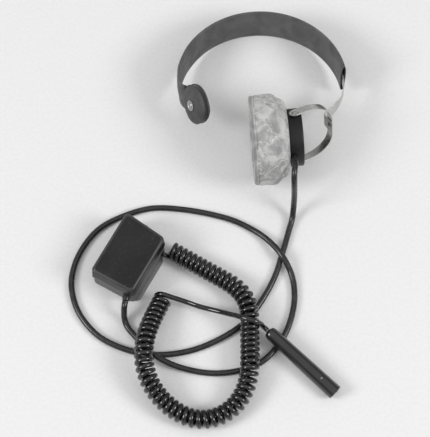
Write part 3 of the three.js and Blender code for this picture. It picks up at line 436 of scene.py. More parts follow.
# The curls' middle radius and number, and the straight lead before them with its run into them.
COIL = {"radius": 7.2, "turns": 65, "lead": 5.0, "ramp": 3}
LEAD_STEPS, TURN_STEPS = 6, 24      # places along the lead, and along each curl
coil_route = np.array([
    [-49.85, -33.54, 10.1], [-37.2, -40.6, 10.1], [-16, -53.2, 10.1], [4, -64.8, 10.2],
    [22.4, -76, 12], [31.8, -91.5, 16], [34, -106.5, 16.8], [33.5, -124, 15.8], [33.7, -141, 15.9],
    [33.5, -157, 16.9], [31.4, -174, 14.4], [22, -191.8, 10.5], [5.6, -204.4, 10.1],
    [-14.4, -208.2, 10.1], [-34.2, -202.2, 11], [-53.2, -187.6, 15.4], [-66.2, -167, 20.4],
    [-69.4, -143.2, 22.6], [-65.4, -121.6, 19.2], [-58, -102.4, 13], [-50.2, -86, 10.1],
])
tail_route = [
    [-44.69, -86.67, 17.13], [-40.4, -88.1, 17.05], [-29, -91, 13.8], [-14.6, -94.4, 8],
    [2, -99.8, 11.4], [17.5, -106.4, 20.2], [25.6, -110.5, 26.8], [32.6, -113.4, 29.2],
    [39.8, -115.2, 27.2], [44.5, -115.9, 20.8], [46.4, -116.8, 16.6], [48.2, -118.0, 14.9],
    [50.6, -120.27, 14.6],
]


def soft_line(points, samples=8000):
    """Uniform cubic B-spline that starts and ends on its outer points: each place is four
    neighbours weighted by cubics. Returns distance along it and the places."""
    p = np.vstack([2 * points[0] - points[1], points, 2 * points[-1] - points[-2]])
    t = np.linspace(0, len(p) - 3, samples)
    k = np.minimum(t.astype(int), len(p) - 4)
    f = (t - k)[:, None]
    weights = [(1 - f) ** 3, 3 * f**3 - 6 * f**2 + 4, -3 * f**3 + 3 * f**2 + 3 * f + 1, f**3]
    places = sum(w * p[k + i] for i, w in enumerate(weights)) / 6
    return np.append(0, np.cumsum(np.linalg.norm(np.diff(places, axis=0), axis=1))), places


def curled(route):
    """Helix round a soft line. The curls close up on the inside of a bend, so the turns made grow
    at a rate of 1 - radius x curvature; over the lead they stand still. The last turn stops a
    quarter short, where the tail leaves. Returns the places and their outward directions."""
    run, places = soft_line(route)
    headings = unit(np.gradient(places, run, axis=0))
    bend = np.linalg.norm(np.gradient(headings, run, axis=0), axis=1)
    rate = smooth((run - COIL["lead"]) / COIL["ramp"]) * (1 - COIL["radius"] * bend)
    count = np.append(0, np.cumsum((rate[1:] + rate[:-1]) / 2 * np.diff(run)))
    turns = COIL["turns"] - 0.25
    turn = np.arange(1, round(turns * TURN_STEPS) + 1) / TURN_STEPS
    wound = np.interp(turn, count * turns / count[-1], run)
    s = np.concatenate([np.linspace(0, COIL["lead"], LEAD_STEPS), wound])
    turn = np.concatenate([np.zeros(LEAD_STEPS), turn])[:, None]
    middle = np.stack([np.interp(s, run, places[:, i]) for i in range(3)], -1)
    heading = unit(np.stack([np.interp(s, run, headings[:, i]) for i in range(3)], -1))
    left = unit(np.cross(UP, heading))
    above = np.cross(heading, left)
    a = np.pi + 2 * np.pi * turn
    outward = left * np.cos(a) + above * np.sin(a)
    return middle + COIL["radius"] * outward, outward


coil_path, outward = curled(coil_route)
leave = unit(coil_path[-1] - coil_path[-2])
STEP_OFF = 2.2      # the cord runs straight on this far before its tail starts
tail_path = through_points(tail_route, 12)
curly_path = np.vstack([coil_path, coil_path[-1] + STEP_OFF * leave, tail_path])
reference = np.vstack([outward, np.tile(UP, (len(tail_path) + 1, 1))])
curly_cord = solid("curly_lead", tube(curly_path, WIRE / 2, 14, reference))
finish_with(curly_cord, "receiver", CURLY_JACKET, "curly_cord", "cord_tail", slot="cord_rubber")
gaps = np.linalg.norm(coil_path[:-TURN_STEPS] - coil_path[TURN_STEPS:], axis=1) - WIRE
print("curly cord", round(line_length(curly_path)), "mm, least air between curls",
      round(float(gaps.min()), 2), "mm")

# %% [markdown]
# ## Cord socket
# On the end of the curly cord is a black tube of phenolic plastic, turned from rod: slightly
# wider at its open, square-cut end, and rounded at the cord end. A cone primitive would miss the
# rounded shoulder, which is where its long highlight ends.

# %% Turned phenolic material
def turned_phenolic(name, dark, light, rough, specular, coat=0.0):
    """Phenolic plastic, turned and polished: near black, with fine marks of the tool round it."""
    material, place = blank(name)
    cloud = noise(material, place, 14, 3, 0.55)
    marks = noise(material, place, 0.9, 2)
    colour = between(material, cloud, dark, light, 0.3, 0.75)
    gloss = between(material, cloud, rough - 0.05, rough + 0.08, 0.3, 0.75)
    return surfaced(material, {"IOR": 1.58, "Specular IOR Level": specular, "Coat Weight": coat,
                               "Coat Roughness": 0.07, "Coat IOR": 1.6},
                    {"Base Color": colour, "Roughness": gloss, "Normal": bumped(material, marks, 0.02)})


SOCKET_BLACK = turned_phenolic("turned_phenolic_tube", "#121212", "#1c1c1c", 0.2, 0.15, 0.9)
PHENOLIC = turned_phenolic("moulded_phenolic", "#141414", "#1e1e1e", 0.4, 0.24)
print("made", SOCKET_BLACK.name, PHENOLIC.name)

# %% Cord socket
start, end = np.array([51.6, -121.2, 14.5]), np.array([115.3, -180.4, 7.9])
socket_long = float(np.linalg.norm(end - start))
socket_x = unit(end - start)
socket_z = unit(UP - socket_x[2] * socket_x)
SOCKET = (np.stack([socket_x, np.cross(socket_z, socket_x), socket_z], 1), start)
barrel = turned("cord_socket", [
    (0.0, 3.0), (0.0, 3.8), (0.2, 4.6), (0.7, 5.4), (1.5, 6.0), (2.6, 6.42), (4.2, 6.66), (6.5, 6.74),
    (socket_long - 0.5, 7.6), (socket_long, 7.2), (socket_long, 5.9), (socket_long - 0.5, 5.6),
    (18.0, 5.6), (16.0, 3.0),
], SOCKET, 72)
SCREW_AT = 68.3      # from the cord end; the screw's hole is drilled from above
drilled(barrel, (along_axis(SOCKET, [SCREW_AT, 0, 4], [0, 0, 1]), 0, 8, 1.5))
finish_with(barrel, "receiver", SOCKET_BLACK, "socket_barrel", slot="socket_black")

# %% [markdown]
# ## Ear cushion
# The cushion is a ring of soft padding under a thin, pale chamois leather, drawn together at the
# back where it grips the receiver. It could be a smooth torus with a bump map, but the leather
# is plainly slack: it puckers between its gathers and lies in folds. So the ring is worked out
# as a profile carried round the receiver, and a short cloth simulation then blows it up, with a
# little too much leather, so that it makes its own folds.

# %% Chamois material
def chamois():
    """Chamois: oil-tanned split leather with no grain layer, so it is matt, with a soft nap, and
    grows darker in blotches where it has been handled. A band of painted shade darkens its
    front rim. Its creases have been rubbed pale."""
    material, place = blank("chamois_leather")
    blotch = noise(material, place, 14, 5, 0.6, 0.8)
    fold = noise(material, place, 13, 4, 0.5, 0.6)
    nap = noise(material, place, 1.6, 3)
    blotched = between(material, blotch, "#8e8e8e", "#c2c2c1", 0.36, 0.66)
    # A crease is where the fold noise passes through its middle value.
    from_middle = add(material, "Math", {1: 0.5}, {0: fold}, operation="SUBTRACT").outputs[0]
    from_middle = add(material, "Math", links={0: from_middle}, operation="ABSOLUTE").outputs[0]
    crease = between(material, from_middle, 1.0, 0.0, 0.004, 0.022)
    colour = laid_over(material, times(material, crease, 0.55), "#dfdfdd", blotched)
    # A band of painted shade along the front rim, wherever the cushion's points mark it
    rim = add(material, "Attribute", attribute_name="painted_rim_shade").outputs["Fac"]
    colour = laid_over(material, times(material, rim, 0.55), "#6c6c6c", colour)
    rise = add(material, "Math", {1: 0.5}, {0: crease, 2: fold}, operation="MULTIPLY_ADD").outputs[0]
    folds = bumped(material, rise, 1.0, 0.5)
    sockets = {"Sheen Weight": 0.25, "Sheen Roughness": 0.5, "IOR": 1.5, "Roughness": 0.86}
    return surfaced(material, sockets,
                    {"Base Color": colour, "Normal": bumped(material, nap, 0.12, 0.6, folds)})


CHAMOIS = chamois()
print("made", CHAMOIS.name)

# %% Cushion grid
# Places (x, r) from the receiver's wall, out over the back, along the side to the groove near the
# front rim, over the front and in through the ear hole.
cushion_profile = np.array([
    [-7.5, 29.2], [-9.0, 31.6], [-10.6, 34.6], [-13.0, 38.2], [-16.2, 39.2], [-18.8, 40.9],
    [-22.0, 44.0], [-27.0, 45.0], [-34.5, 44.8], [-39.6, 44.8], [-40.3, 44.6], [-40.8, 43.9],
    [-41.4, 44.4], [-42.6, 44.5], [-44.1, 44.1], [-45.0, 42.8], [-45.2, 37.0], [-44.9, 31.0],
    [-43.0, 25.2], [-38.8, 21.6], [-31.0, 20.0], [-18.0, 20.0], [-11.6, 20.6], [-11.3, 29.2],
])
EAR_HOLE, CUSHION_DEEP = 20, 25      # radius of the ear hole, and from there to the rim
GATHERS, SWELL = 11, 0.45            # number of gathers, and how far the leather swells


def cushion_grid(around=168, each=4):
    """The profile closed on itself and carried round the receiver. The radius swells and draws in
    by swell x sin(gathers a + 0.35 i), where i counts the profile's points, and the more so the
    further a point is from the ear hole. Returns the grid and that share."""
    loop = np.vstack([cushion_profile, cushion_profile[:1]])
    line = through_points(np.column_stack([loop, 0 * loop[:, :1]]), each)[:-1, :2]
    i = np.arange(len(line)) / each
    sewn_from, sewn_to = 1.2, 19.8
    soft = smooth((line[:, 1] - EAR_HOLE) / CUSHION_DEEP) * (i > sewn_from) * (i < sewn_to)
    a = full_circle(around)[:, None]
    swell = soft * (SWELL * np.sin(GATHERS * a + 0.35 * i) - SWELL)
    return carried(ring_points(line[:, 0] + 0.5 * swell, line[:, 1] + swell, a), CUP), soft


grid, slack = cushion_grid()
cushion = solid("chamois_cushion", grid, along=True)
print("cushion grid", grid.shape)

# %% [markdown]
# The leather is simulated as cloth with a little pressure inside and no gravity. Its edge at
# the receiver and the lining of the ear hole are sewn down, so those points are held. What the
# simulation moves is then capped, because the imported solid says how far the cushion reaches.

# %% Cushion simulation
def puffed(made, hold, cap_mm, pressure=4.0, extra=0.06, frames=20):
    """Cloth with pressure inside and a share of extra leather. A point that moves by d then stays
    at cap x tanh(d / cap), so it never moves further than cap_mm."""
    before = points_of(made)
    group = made.vertex_groups.new(name="sewn")
    for index in np.flatnonzero(hold).tolist():
        group.add([index], 1.0, "REPLACE")
    cloth = made.modifiers.new("leather", "CLOTH")
    cloth.settings.effector_weights.gravity = 0
    cloth.settings.use_pressure = True
    cloth.settings.uniform_pressure_force = pressure
    cloth.settings.shrink_min = -extra
    cloth.settings.quality = 6
    cloth.settings.mass = 0.25
    cloth.settings.bending_stiffness = 0.4
    cloth.settings.vertex_group_mass = "sewn"
    cloth.collision_settings.use_collision = False
    cloth.point_cache.frame_end = frames
    for step in range(1, frames + 1):
        bpy.context.scene.frame_set(step)
    applied(made)
    bpy.context.scene.frame_set(1)
    move = points_of(made) - before
    far = np.linalg.norm(move, axis=1, keepdims=True)
    limit = cap_mm * MM
    move *= limit * np.tanh(far / limit) / np.maximum(far, 1e-12)
    made.data.vertices.foreach_set("co", (before + move).ravel())
    made.data.update()
    print(f"{made.name}: points moved {far.max() / MM:.1f} mm at most, capped near {cap_mm} mm")


CUSHION_SHARP = 60
SEWN_SLACK = 0.02      # a point with less slack than this is held
puffed(cushion, np.tile(slack < SEWN_SLACK, grid.shape[0]), cap_mm=1.5)
shade(cushion.data, CUSHION_SHARP)
smoother = cushion.modifiers.new("smoother", "SUBSURF")
smoother.levels = smoother.render_levels = 1
applied(cushion)
shade(cushion.data, CUSHION_SHARP)
GROOVE_X, RIM_R = -40.9, 39      # the painted shade of the front rim lies in front of the groove and past this radius
# The front rim is marked for its band of painted shade.
places = (points_of(cushion) / MM + MIDDLE - CUP[1]) @ CUP[0]
from_axis = np.linalg.norm(places[:, 1:], axis=1)
in_front = smooth((GROOVE_X - places[:, 0]) / 0.9)
marked(cushion, "painted_rim_shade", in_front * smooth((from_axis - RIM_R) / 3))
finish_with(cushion, "receiver", CHAMOIS, "ear_cushion", slot="chamois")

# %% [markdown]
# ## Headband
# The band is a flattened sleeve of black vinyl leathercloth with a spring strip inside. It runs
# in one arc, curls in at the temple and twists up into the pad. A curve with a bevel object
# could do it, but the twist needs a direction across the band at every station, so each station
# holds its place, its direction across and its direction outwards.

# %% Stations along the band
BAND_RADIUS = 84.3      # to the middle of the sleeve's thickness
SLEEVE = {"width": 40, "thick": 5.2, "wall": 0.8, "from": 10.6,
          "curl_from": 165, "curl_radius": 40, "curl_turn": 24}
PAD_RADIUS = 20.3
PULL = 0.36             # how far a twist keeps its first and last heading, as a share of its reach


def on_arc(degrees, offset=0.0):
    """Stations on the band's arc: place, direction across (along z) and direction outwards."""
    a = np.radians(np.atleast_1d(degrees).astype(float))
    out = np.stack([np.cos(a), np.sin(a), 0 * a], -1)
    return (BAND_RADIUS + offset) * out, np.tile(UP, (len(a), 1)), out


def pad_frame():
    """Frame of the temple pad in the arch: its middle, direction along the band, across and out."""
    along = unit([0.54, -0.72, 0.43])
    out = np.array([-0.84, -0.448, 0.296])
    out = unit(out - out.dot(along) * along)
    return np.array([-65.1, -21.0, 8.2]), along, np.cross(out, along), out


def bezier(a, b, c, d, t):
    """Cubic through a and d that leaves towards b and arrives from c, and its headings."""
    t = t[:, None]
    place = (1 - t)**3 * a + 3 * t * (1 - t)**2 * b + 3 * t * t * (1 - t) * c + t**3 * d
    heading = 3 * (1 - t)**2 * (b - a) + 6 * t * (1 - t) * (c - b) + 3 * t * t * (d - c)
    return place, unit(heading)


def blended(a, b, c, d, across_from, across_to, t):
    """Stations on a cubic, with the direction across turned smoothly from one to the other."""
    place, heading = bezier(a, b, c, d, t)
    across = unit(across_from + (across_to - across_from) * smooth(t)[:, None])
    out = unit(np.cross(heading, across))
    return place, np.cross(out, heading), out


def joined(*runs):
    """Several runs of stations as one."""
    return tuple(np.vstack([run[i] for run in runs]) for i in range(3))


def band_stations(start, short_of):
    """The arc, the tighter curl at the temple, the twist up to the pad, and the straight in it,
    with a station at each distance short of its middle."""
    arc = on_arc(np.linspace(start, SLEEVE["curl_from"], 110))
    turn_in = np.linspace(SLEEVE["curl_from"], SLEEVE["curl_from"] + SLEEVE["curl_turn"], 13)[1:]
    first = on_arc(SLEEVE["curl_from"])
    centre = first[0][0] - SLEEVE["curl_radius"] * first[2][0]
    curl_out = on_arc(turn_in)[2]
    curl = (centre + SLEEVE["curl_radius"] * curl_out, np.tile(UP, (len(curl_out), 1)), curl_out)
    at, along, across, out = pad_frame()
    here, facing = curl[0][-1], curl[2][-1]
    entry = at - (PAD_RADIUS - 1.5) * along
    pull = PULL * np.linalg.norm(entry - here)
    heading = np.array([-facing[1], facing[0], 0])
    twist = blended(here, here + pull * heading, entry - pull * along, entry,
                    UP, across, np.linspace(0, 1, 29)[1:])
    inside = np.array(short_of, float)[:, None]
    straight = (at - inside * along, np.tile(across, (len(inside), 1)), np.tile(out, (len(inside), 1)))
    return joined(arc, curl, twist, straight)


def swept(stations, section, place):
    """Grid of a section carried along stations: place + u across + v out, with (u, v) from section,
    which holds one row of points for each station."""
    at, across, out = stations
    grid = at[:, None] + section[..., :1] * across[:, None] + section[..., 1:] * out[:, None]
    return carried(grid, place)


print("the temple pad sits at", np.round(carried(pad_frame()[0], ARCH), 1), "on the table")

# %% Vinyl leathercloth material
def leathercloth(name, dark, light, rough, pore_mm, depth_mm):
    """Cloth coated with soft vinyl and embossed with a fine leather grain: satin, a little paler
    where it has been rubbed, with a grain of cells a few tenths of a millimetre across."""
    material, place = blank(name)
    rubbed = noise(material, place, 22, 4, 0.6, 0.6)
    cell = add(material, "TexVoronoi", {"Scale": 1 / (pore_mm * MM)}, {"Vector": place}, feature="F1")
    grain = bumped(material, cell.outputs["Distance"], depth_mm, 0.6)
    colour = between(material, rubbed, dark, light, 0.32, 0.7)
    gloss = between(material, rubbed, rough + 0.06, rough - 0.08, 0.3, 0.75)
    return surfaced(material, {"IOR": 1.5}, {"Base Color": colour, "Roughness": gloss, "Normal": grain})


VINYL = leathercloth("vinyl_leathercloth", "#484848", "#5c5c5c", 0.5, 0.9, 0.06)
LEATHER = leathercloth("grained_leather", "#363636", "#474747", 0.55, 1.3, 0.15)
print("made", VINYL.name, LEATHER.name)

# %% Band sleeve
def flattened(width, thick, count=56, power=2.8):
    """Flattened tube section: half width and half thickness times cosine and sine to 2 / power."""
    c, s = np.cos(full_circle(count)), np.sin(full_circle(count))
    u = np.sign(c) * np.abs(c) ** (2 / power)
    v = np.sign(s) * np.abs(s) ** (2 / power)
    return np.stack([np.outer(width / 2, u), np.outer(thick / 2, v)], -1)


def band_sleeve():
    """Two walls of the flattened tube, joined at both ends into one closed skin. Near the temple
    the sleeve narrows and flattens, and lies in long creases a few millimetres apart: waves of
    cosine across it, that fade out along it."""
    stations = band_stations(SLEEVE["from"], [15, 11.5])
    run = np.append(0, np.cumsum(np.linalg.norm(np.diff(stations[0], axis=0), axis=1)))
    left = run[-1] - run
    wall, narrower, thinner, wall_thinner, flat_over = SLEEVE["wall"], 15, 3.3, 0.62, 46
    flat = smooth(1 - left / flat_over)
    width, thick = SLEEVE["width"] - narrower * flat, SLEEVE["thick"] - thinner * flat
    outer = flattened(width, thick)
    inner = flattened(width - 2 * wall, thick - 2 * wall * (1 - wall_thinner * flat))
    crease_apart, crease_deep, crease_from, crease_grows, crease_ends = 7.5, 0.32, 62, 24, 8
    crease = smooth(left / crease_ends) * smooth((crease_from - left) / crease_grows)
    wave = np.cos(2 * np.pi * outer[..., 0] / crease_apart + 0.6) - 1
    outer[..., 1] += crease_deep * crease[:, None] * wave * np.sign(outer[..., 1])
    rings = np.concatenate([swept(stations, outer, ARCH), swept(stations, inner, ARCH)[::-1]])
    return solid("band_sleeve", rings, along=True, sharp=50)


finish_with(band_sleeve(), "headband", VINYL, "headband_sleeve", slot="vinyl")
print("band length", round(line_length(band_stations(SLEEVE["from"], [11.5])[0])), "mm")

# %% [markdown]
# ## Temple pad
# The pad is two leather discs with a felt core, clenched over the band's end by an eyelet. Each
# disc is a turned shape; the real leather has lost its roundness a little, so the disc's edge
# and face wander by some tenths of a millimetre.

# %% Pressed felt material
def pressed_felt():
    """Wool felt, pressed: fibres lie every way, so it is matt and slightly furry."""
    material, place = blank("pressed_felt")
    fibre = noise(material, place, 0.8, 5, 0.7, 1.0)
    colour = between(material, fibre, "#1d1d1d", "#3a3a3a", 0.3, 0.7)
    return surfaced(material, {"Roughness": 0.95, "Sheen Weight": 0.35},
                    {"Base Color": colour, "Normal": bumped(material, fibre, 0.25)})


FELT = pressed_felt()
print("made", FELT.name)

# %% Temple discs and core
pad_at, pad_along, pad_across, pad_out = pad_frame()
PAD = (ARCH[0] @ np.stack([pad_out, pad_along, pad_across], 1), carried(pad_at, ARCH))


def worn_disc(name, profile, wander):
    """Turned disc whose points wander by a sum of sines of their angle, up to wander at the rim."""
    loop = np.array([*profile, profile[0]], float)
    x, r = loop.T[:, None, :]
    a = full_circle(96)[:, None]
    share = (r / PAD_RADIUS) ** 3 * wander
    uneven = np.sin(3 * a + 0.7) + 0.6 * np.sin(5 * a + 2.1) + 0.5 * np.sin(9 * a + 4.0)
    r = r - share * (0.6 + 0.35 * uneven)
    x = x + np.sign(x) * share * 0.5 * np.sin(4 * a + 1.0) * (np.abs(x) > 2.2)
    return solid(name, carried(ring_points(x, r, a), PAD).transpose(1, 0, 2), caps=False, sharp=50)


# The radius, half the gap for the core, the rim's face, how far the front and the back rise over
# it, and the bore.
r, HALF, RIM, DOME, BACK, BORE = PAD_RADIUS, 1.35, 3.25, 3.4, 2.2, 2.7
front_disc = worn_disc("temple_leather_front", [
    (HALF, BORE), (HALF, r - 0.7), (HALF + 0.25, r - 0.2), (HALF + 0.8, r), (RIM - 0.5, r),
    (RIM - 0.05, r - 0.35), (RIM + 0.25, r - 1.1), (RIM + 0.9, r * 0.9), (RIM + DOME * 0.5, r * 0.8),
    (RIM + DOME * 0.74, r * 0.66), (RIM + DOME * 0.88, r * 0.52), (RIM + DOME * 0.97, r * 0.38),
    (RIM + DOME, r * 0.29), (RIM + DOME, BORE),
], 0.55)
back_disc = worn_disc("temple_leather_back", [
    (-HALF, BORE), (-HALF, r - 0.7), (-HALF - 0.25, r - 0.2), (-HALF - 0.6, r), (-RIM + 0.3, r),
    (-RIM - 0.2, r - 0.5), (-RIM - 0.6, r - 1.3), (-RIM - 1.6, r * 0.8), (-RIM - 2.0, r * 0.65),
    (-RIM - BACK, r * 0.5), (-RIM - BACK, BORE),
], 0.5)
finish_with(front_disc, "headband", LEATHER, "temple_disc", slot="leather")
finish_with(back_disc, "headband", LEATHER, "temple_pad", slot="leather")


def felt_core():
    """Felt ring with a slot for the band: at each angle the section runs out to the rim from the
    slot's end, at r = end / cos a, or from its side, at r = half width / sin a, if that is nearer."""
    half_slot, slot_end, outer, half_thick = 13.1, 7.0, PAD_RADIUS - 1, 1.2
    a = np.linspace(-1, 1, 97) * (np.pi - math.asin(half_slot / outer) - 0.02)
    nothing = 1e-6
    to_side = half_slot / np.maximum(np.abs(np.sin(a)), nothing)
    to_end = slot_end / np.maximum(np.cos(a), nothing)
    reach = np.minimum(to_side, to_end)
    corners = np.array([(-1, 0.12), (-0.82, 0), (0.82, 0), (1, 0.12),
                        (1, 0.88), (0.82, 1), (-0.82, 1), (-1, 0.88)])
    x = np.tile(half_thick * corners[:, 0], (len(a), 1))
    r = reach[:, None] + (outer - reach)[:, None] * corners[:, 1]
    return carried(np.stack([x, r * np.cos(a)[:, None], r * np.sin(a)[:, None]], -1), PAD)


core = finish_with(solid("felt_core", felt_core()), "headband", FELT, "pad_core", slot="felt")

# %% [markdown]
# ## Bright metal
# The yoke, the slide strip, the rivet and the screws are steel strip and wire with nickel plate,
# and so is the eyelet, whose plate has worn dull. Nickel is a little yellower and darker than
# chrome. Plate this old has fine scratches and a few dull spots, which break up its reflections.
# One function makes every metal here, because they differ only in colour, gloss and wear.

# %% Metals
def metal(name, pale, dull, rough_low, rough_high, scratch_mm=0.7, depth_mm=0.01, spot_mm=8):
    """Metal: its colour is in its reflection. Patches of wear change its colour and roughness."""
    material, place = blank(name)
    wear = noise(material, place, spot_mm, 5, 0.65)
    scratch = noise(material, place, scratch_mm, 2)
    colour = between(material, wear, pale, dull, 0.45, 0.8)
    rough = between(material, wear, rough_low, rough_high, 0.35, 0.75)
    scratched = bumped(material, scratch, depth_mm)
    return surfaced(material, {"Metallic": 1.0},
                    {"Base Color": colour, "Roughness": rough, "Normal": scratched})


NICKEL = metal("bright_nickel_plate", "#cacac8", "#adadaa", 0.2, 0.34, depth_mm=0.004)
SATIN = metal("satin_nickel_plate", "#d0d0ce", "#b4b4b2", 0.4, 0.5, depth_mm=0.002)
SPRING_STEEL = metal("cold_rolled_strip_steel", "#a2a2a2", "#7d7d7d", 0.3, 0.5)
BRASS = metal("turned_brass", "#c9a968", "#a88848", 0.28, 0.45)
MAGNET_IRON = metal("ground_magnet_iron", "#777777", "#565656", 0.45, 0.65, 0.5, 0.03)
TIN = metal("dull_zinc_plate", "#a8a8a8", "#858585", 0.38, 0.58)
WORN_NICKEL = metal("worn_nickel_plate", "#acacaa", "#868684", 0.4, 0.58, depth_mm=0.006, spot_mm=4)
print("made seven metals")

# %% Slide strip
def flat_bar(width, thick, edge=0.12):
    """Flat strip section with small rounded edges: eight corners of a chamfered rectangle."""
    w, t = width / 2, thick / 2
    return np.array([(-w + edge, -t), (w - edge, -t), (w, -t + edge), (w, t - edge),
                     (w - edge, t), (-w + edge, t), (-w, t - edge), (-w, -t + edge)])


YOKE_REACH, YOKE_HALF, YOKE_WIDTH, YOKE_THICK = 39, 31, 9, 1.2
STRIP_WIDTH, STRIP_THICK, STRIP_GAP = 13.6, 0.6, 0.3
FOOT = {"from": -6.6, "to": 8.6, "bend_radius": 2.6, "bend": 62}
TAB_X = YOKE_REACH - YOKE_THICK / 2 - STRIP_GAP - STRIP_THICK / 2      # the foot, inside the yoke's back
tab_turn = ARCH[0].T @ YOKE[0]
tab_origin = (YOKE[1] - ARCH[1]) @ ARCH[0]


def slide_stations():
    """Foot riveted in the yoke, a tight 62 degree bend over its edge, a twist to the band's
    own direction, and the arc inside the sleeve; all in the arch's frame."""
    pivot_line = tab_turn @ UP
    foot_y = np.array([FOOT["from"], 0, FOOT["to"]])
    foot = np.stack([0 * foot_y + TAB_X, foot_y, 0 * foot_y], -1)
    a = np.radians(np.linspace(0, FOOT["bend"], 12)[1:])
    turn_in = FOOT["bend_radius"] * (1 - np.cos(a))
    bend = np.stack([TAB_X + turn_in, FOOT["to"] + FOOT["bend_radius"] * np.sin(a), 0 * a], -1)
    facing = np.vstack([np.tile([1.0, 0, 0], (3, 1)), np.stack([np.cos(a), -np.sin(a), 0 * a], -1)])
    low = np.vstack([foot, bend]) @ tab_turn.T + tab_origin
    low_run = (low, np.tile(pivot_line, (len(low), 1)), facing @ tab_turn.T)
    heading = tab_turn @ np.array([np.sin(a[-1]), np.cos(a[-1]), 0])
    arc_from, arc_to, inwards = 6, 52, -0.6
    arc = on_arc(np.linspace(arc_from, arc_to, 40), inwards)
    mouth, out = arc[0][0], arc[2][0]
    pull = PULL * np.linalg.norm(low[-1] - mouth)
    back = np.array([out[1], -out[0], 0])
    twist = blended(low[-1], low[-1] + pull * heading, mouth + pull * back, mouth,
                    pivot_line, UP, np.linspace(0, 1, 36)[1:-1])
    return joined(low_run, twist, arc)


stations = slide_stations()
section = np.tile(flat_bar(STRIP_WIDTH, STRIP_THICK), (len(stations[0]), 1, 1))
strip = solid("slide_band", swept(stations, section, ARCH))
RIVET_HOLE, BITE = 1.9, 4      # the hole's radius, and a drill's reach to each side of a strip
drilled(strip, (along_axis(YOKE, [TAB_X - BITE, 0, 0], [1, 0, 0]), 0, 2 * BITE, RIVET_HOLE))
finish_with(strip, "slide", SATIN, "slide_strip", slot="nickel")

# %% [markdown]
# ## Yoke
# The yoke is one strip bent into a C, with both ends rounded, a screw hole in each arm and a
# rivet hole in its back. The rounded ends come from the width itself: it shrinks like a half
# circle over the last few millimetres.

# %% Yoke
ARM_END = 6.2      # past the pivot, over which an arm is rounded


def yoke_grid():
    """Strip along an arm, round a bow of power 2.1 with a flat back, and back along the other arm.
    Past the pivot the half width of each arm is a quarter ellipse."""
    straight, flat, power = 9, 8.5, 2.1
    a = np.linspace(np.pi / 2, -np.pi / 2, 73)[1:-1]
    x = straight + (YOKE_REACH - straight) * np.cos(a) ** (2 / power)
    z = np.sign(np.sin(a)) * (flat + (YOKE_HALF - flat) * np.abs(np.sin(a)) ** (2 / power))
    arm = -ARM_END * np.cos(np.linspace(0, np.pi / 2, 14)) ** 0.8
    arm_x = np.concatenate([arm, [3, 6, straight]])
    x = np.concatenate([arm_x, x, arm_x[::-1]])
    z = np.concatenate([np.full(len(arm_x), YOKE_HALF), z, np.full(len(arm_x), -YOKE_HALF)])
    place = np.stack([x, 0 * x, z], -1)
    heading = unit(np.gradient(place, axis=0))
    out = np.stack([-heading[:, 2], 0 * x, heading[:, 0]], -1)
    share = np.where(x < 0, np.sqrt(np.maximum(1 - (x / ARM_END) ** 2, 1e-4)), 1.0)
    share[0] = share[-1] = 0.05
    section = np.tile(flat_bar(YOKE_WIDTH, YOKE_THICK, 0.2), (len(x), 1, 1))
    section[..., 0] *= share[:, None]
    across = np.tile([0.0, 1.0, 0.0], (len(x), 1))
    return swept((place, across, out), section, YOKE)


PIVOT_HOLE = 1.7
yoke = solid("c_yoke", yoke_grid())
arm_holes = [along_axis(YOKE, [0, 0, z - BITE], [0, 0, 1]) for z in (YOKE_HALF, -YOKE_HALF)]
drilled(yoke, *((hole, 0, 2 * BITE, PIVOT_HOLE) for hole in arm_holes),
        (along_axis(YOKE, [YOKE_REACH - BITE, 0, 0], [1, 0, 0]), 0, 2 * BITE, RIVET_HOLE))
finish_with(yoke, "yoke", NICKEL, "yoke", slot="nickel")

# %% [markdown]
# ## Rivet, eyelet and pivot screws
# A rivet holds the slide strip to the yoke's back, an eyelet clenches the temple pad, and two
# screws with low round heads are the yoke's pivots. Spheres and cylinders would do for heads so
# small, but a turned profile also gives each its true rim and shank, in one closed shape.

# %% Fasteners
inside, outside = TAB_X - STRIP_THICK, YOKE_REACH + 0.95
rivet = turned("swivel_rivet_bright", [
    (inside - 1.0, 0), (inside - 0.98, 0.9), (inside - 0.86, 1.7), (inside - 0.62, 2.4),
    (inside - 0.3, 2.9), (inside - 0.06, 3.1), (inside, 3.0), (inside, 1.55), (outside, 1.55),
    (outside, 3.1), (outside + 0.2, 3.2), (outside + 0.6, 3.0), (outside + 0.95, 2.3),
    (outside + 1.13, 1.3), (outside + 1.2, 0),
], YOKE, 40)
finish_with(rivet, "slide", SATIN, "swivel_rivet", slot="nickel")
top, bottom = RIM + DOME, -RIM - BACK
eyelet = turned("eyelet_bright", [
    (bottom - 1.2, 0), (bottom - 1.2, 2.4), (top + 0.3, 2.4), (top + 0.3, 5.2), (top + 0.45, 5.4),
    (top + 0.75, 5.3), (top + 0.95, 4.8), (top + 0.85, 4.2), (top + 0.4, 3.7), (top + 0.4, 3.0),
    (top + 0.9, 2.5), (top + 1.25, 1.8), (top + 1.42, 0.9), (top + 1.45, 0),
], PAD, 48)
finish_with(eyelet, "headband", WORN_NICKEL, "temple_eyelet", slot="nickel")
BOTH_SIDES = {"upper": 1, "lower": -1}
TIP = YOKE_HALF - 5.8                         # the inner end of a screw
under = YOKE_HALF + YOKE_THICK / 2 + 0.7      # the underside of a screw's head, over its washer
for name, way in BOTH_SIDES.items():
    screw = turned("screw_" + name, [
        (TIP, 0), (TIP, 1.35), (under, 1.35), (under, 3.1), (under + 0.1, 3.25), (under + 0.3, 3.2),
        (under + 0.55, 2.8), (under + 0.75, 2.1), (under + 0.86, 1.2), (under + 0.9, 0),
    ], along_axis(CUP, [0, 0, 0], [0, 0, way]), 40)
    finish_with(screw, "receiver", NICKEL, "pivot_screw_" + name, slot="nickel")

# %% [markdown]
# ## Receiver
# The receiver's housing is a shallow drum moulded in black phenolic, with a boss on each side
# for its pivot screws. It is drawn as one turned shell. The bosses are short round studs that
# run into the wall.

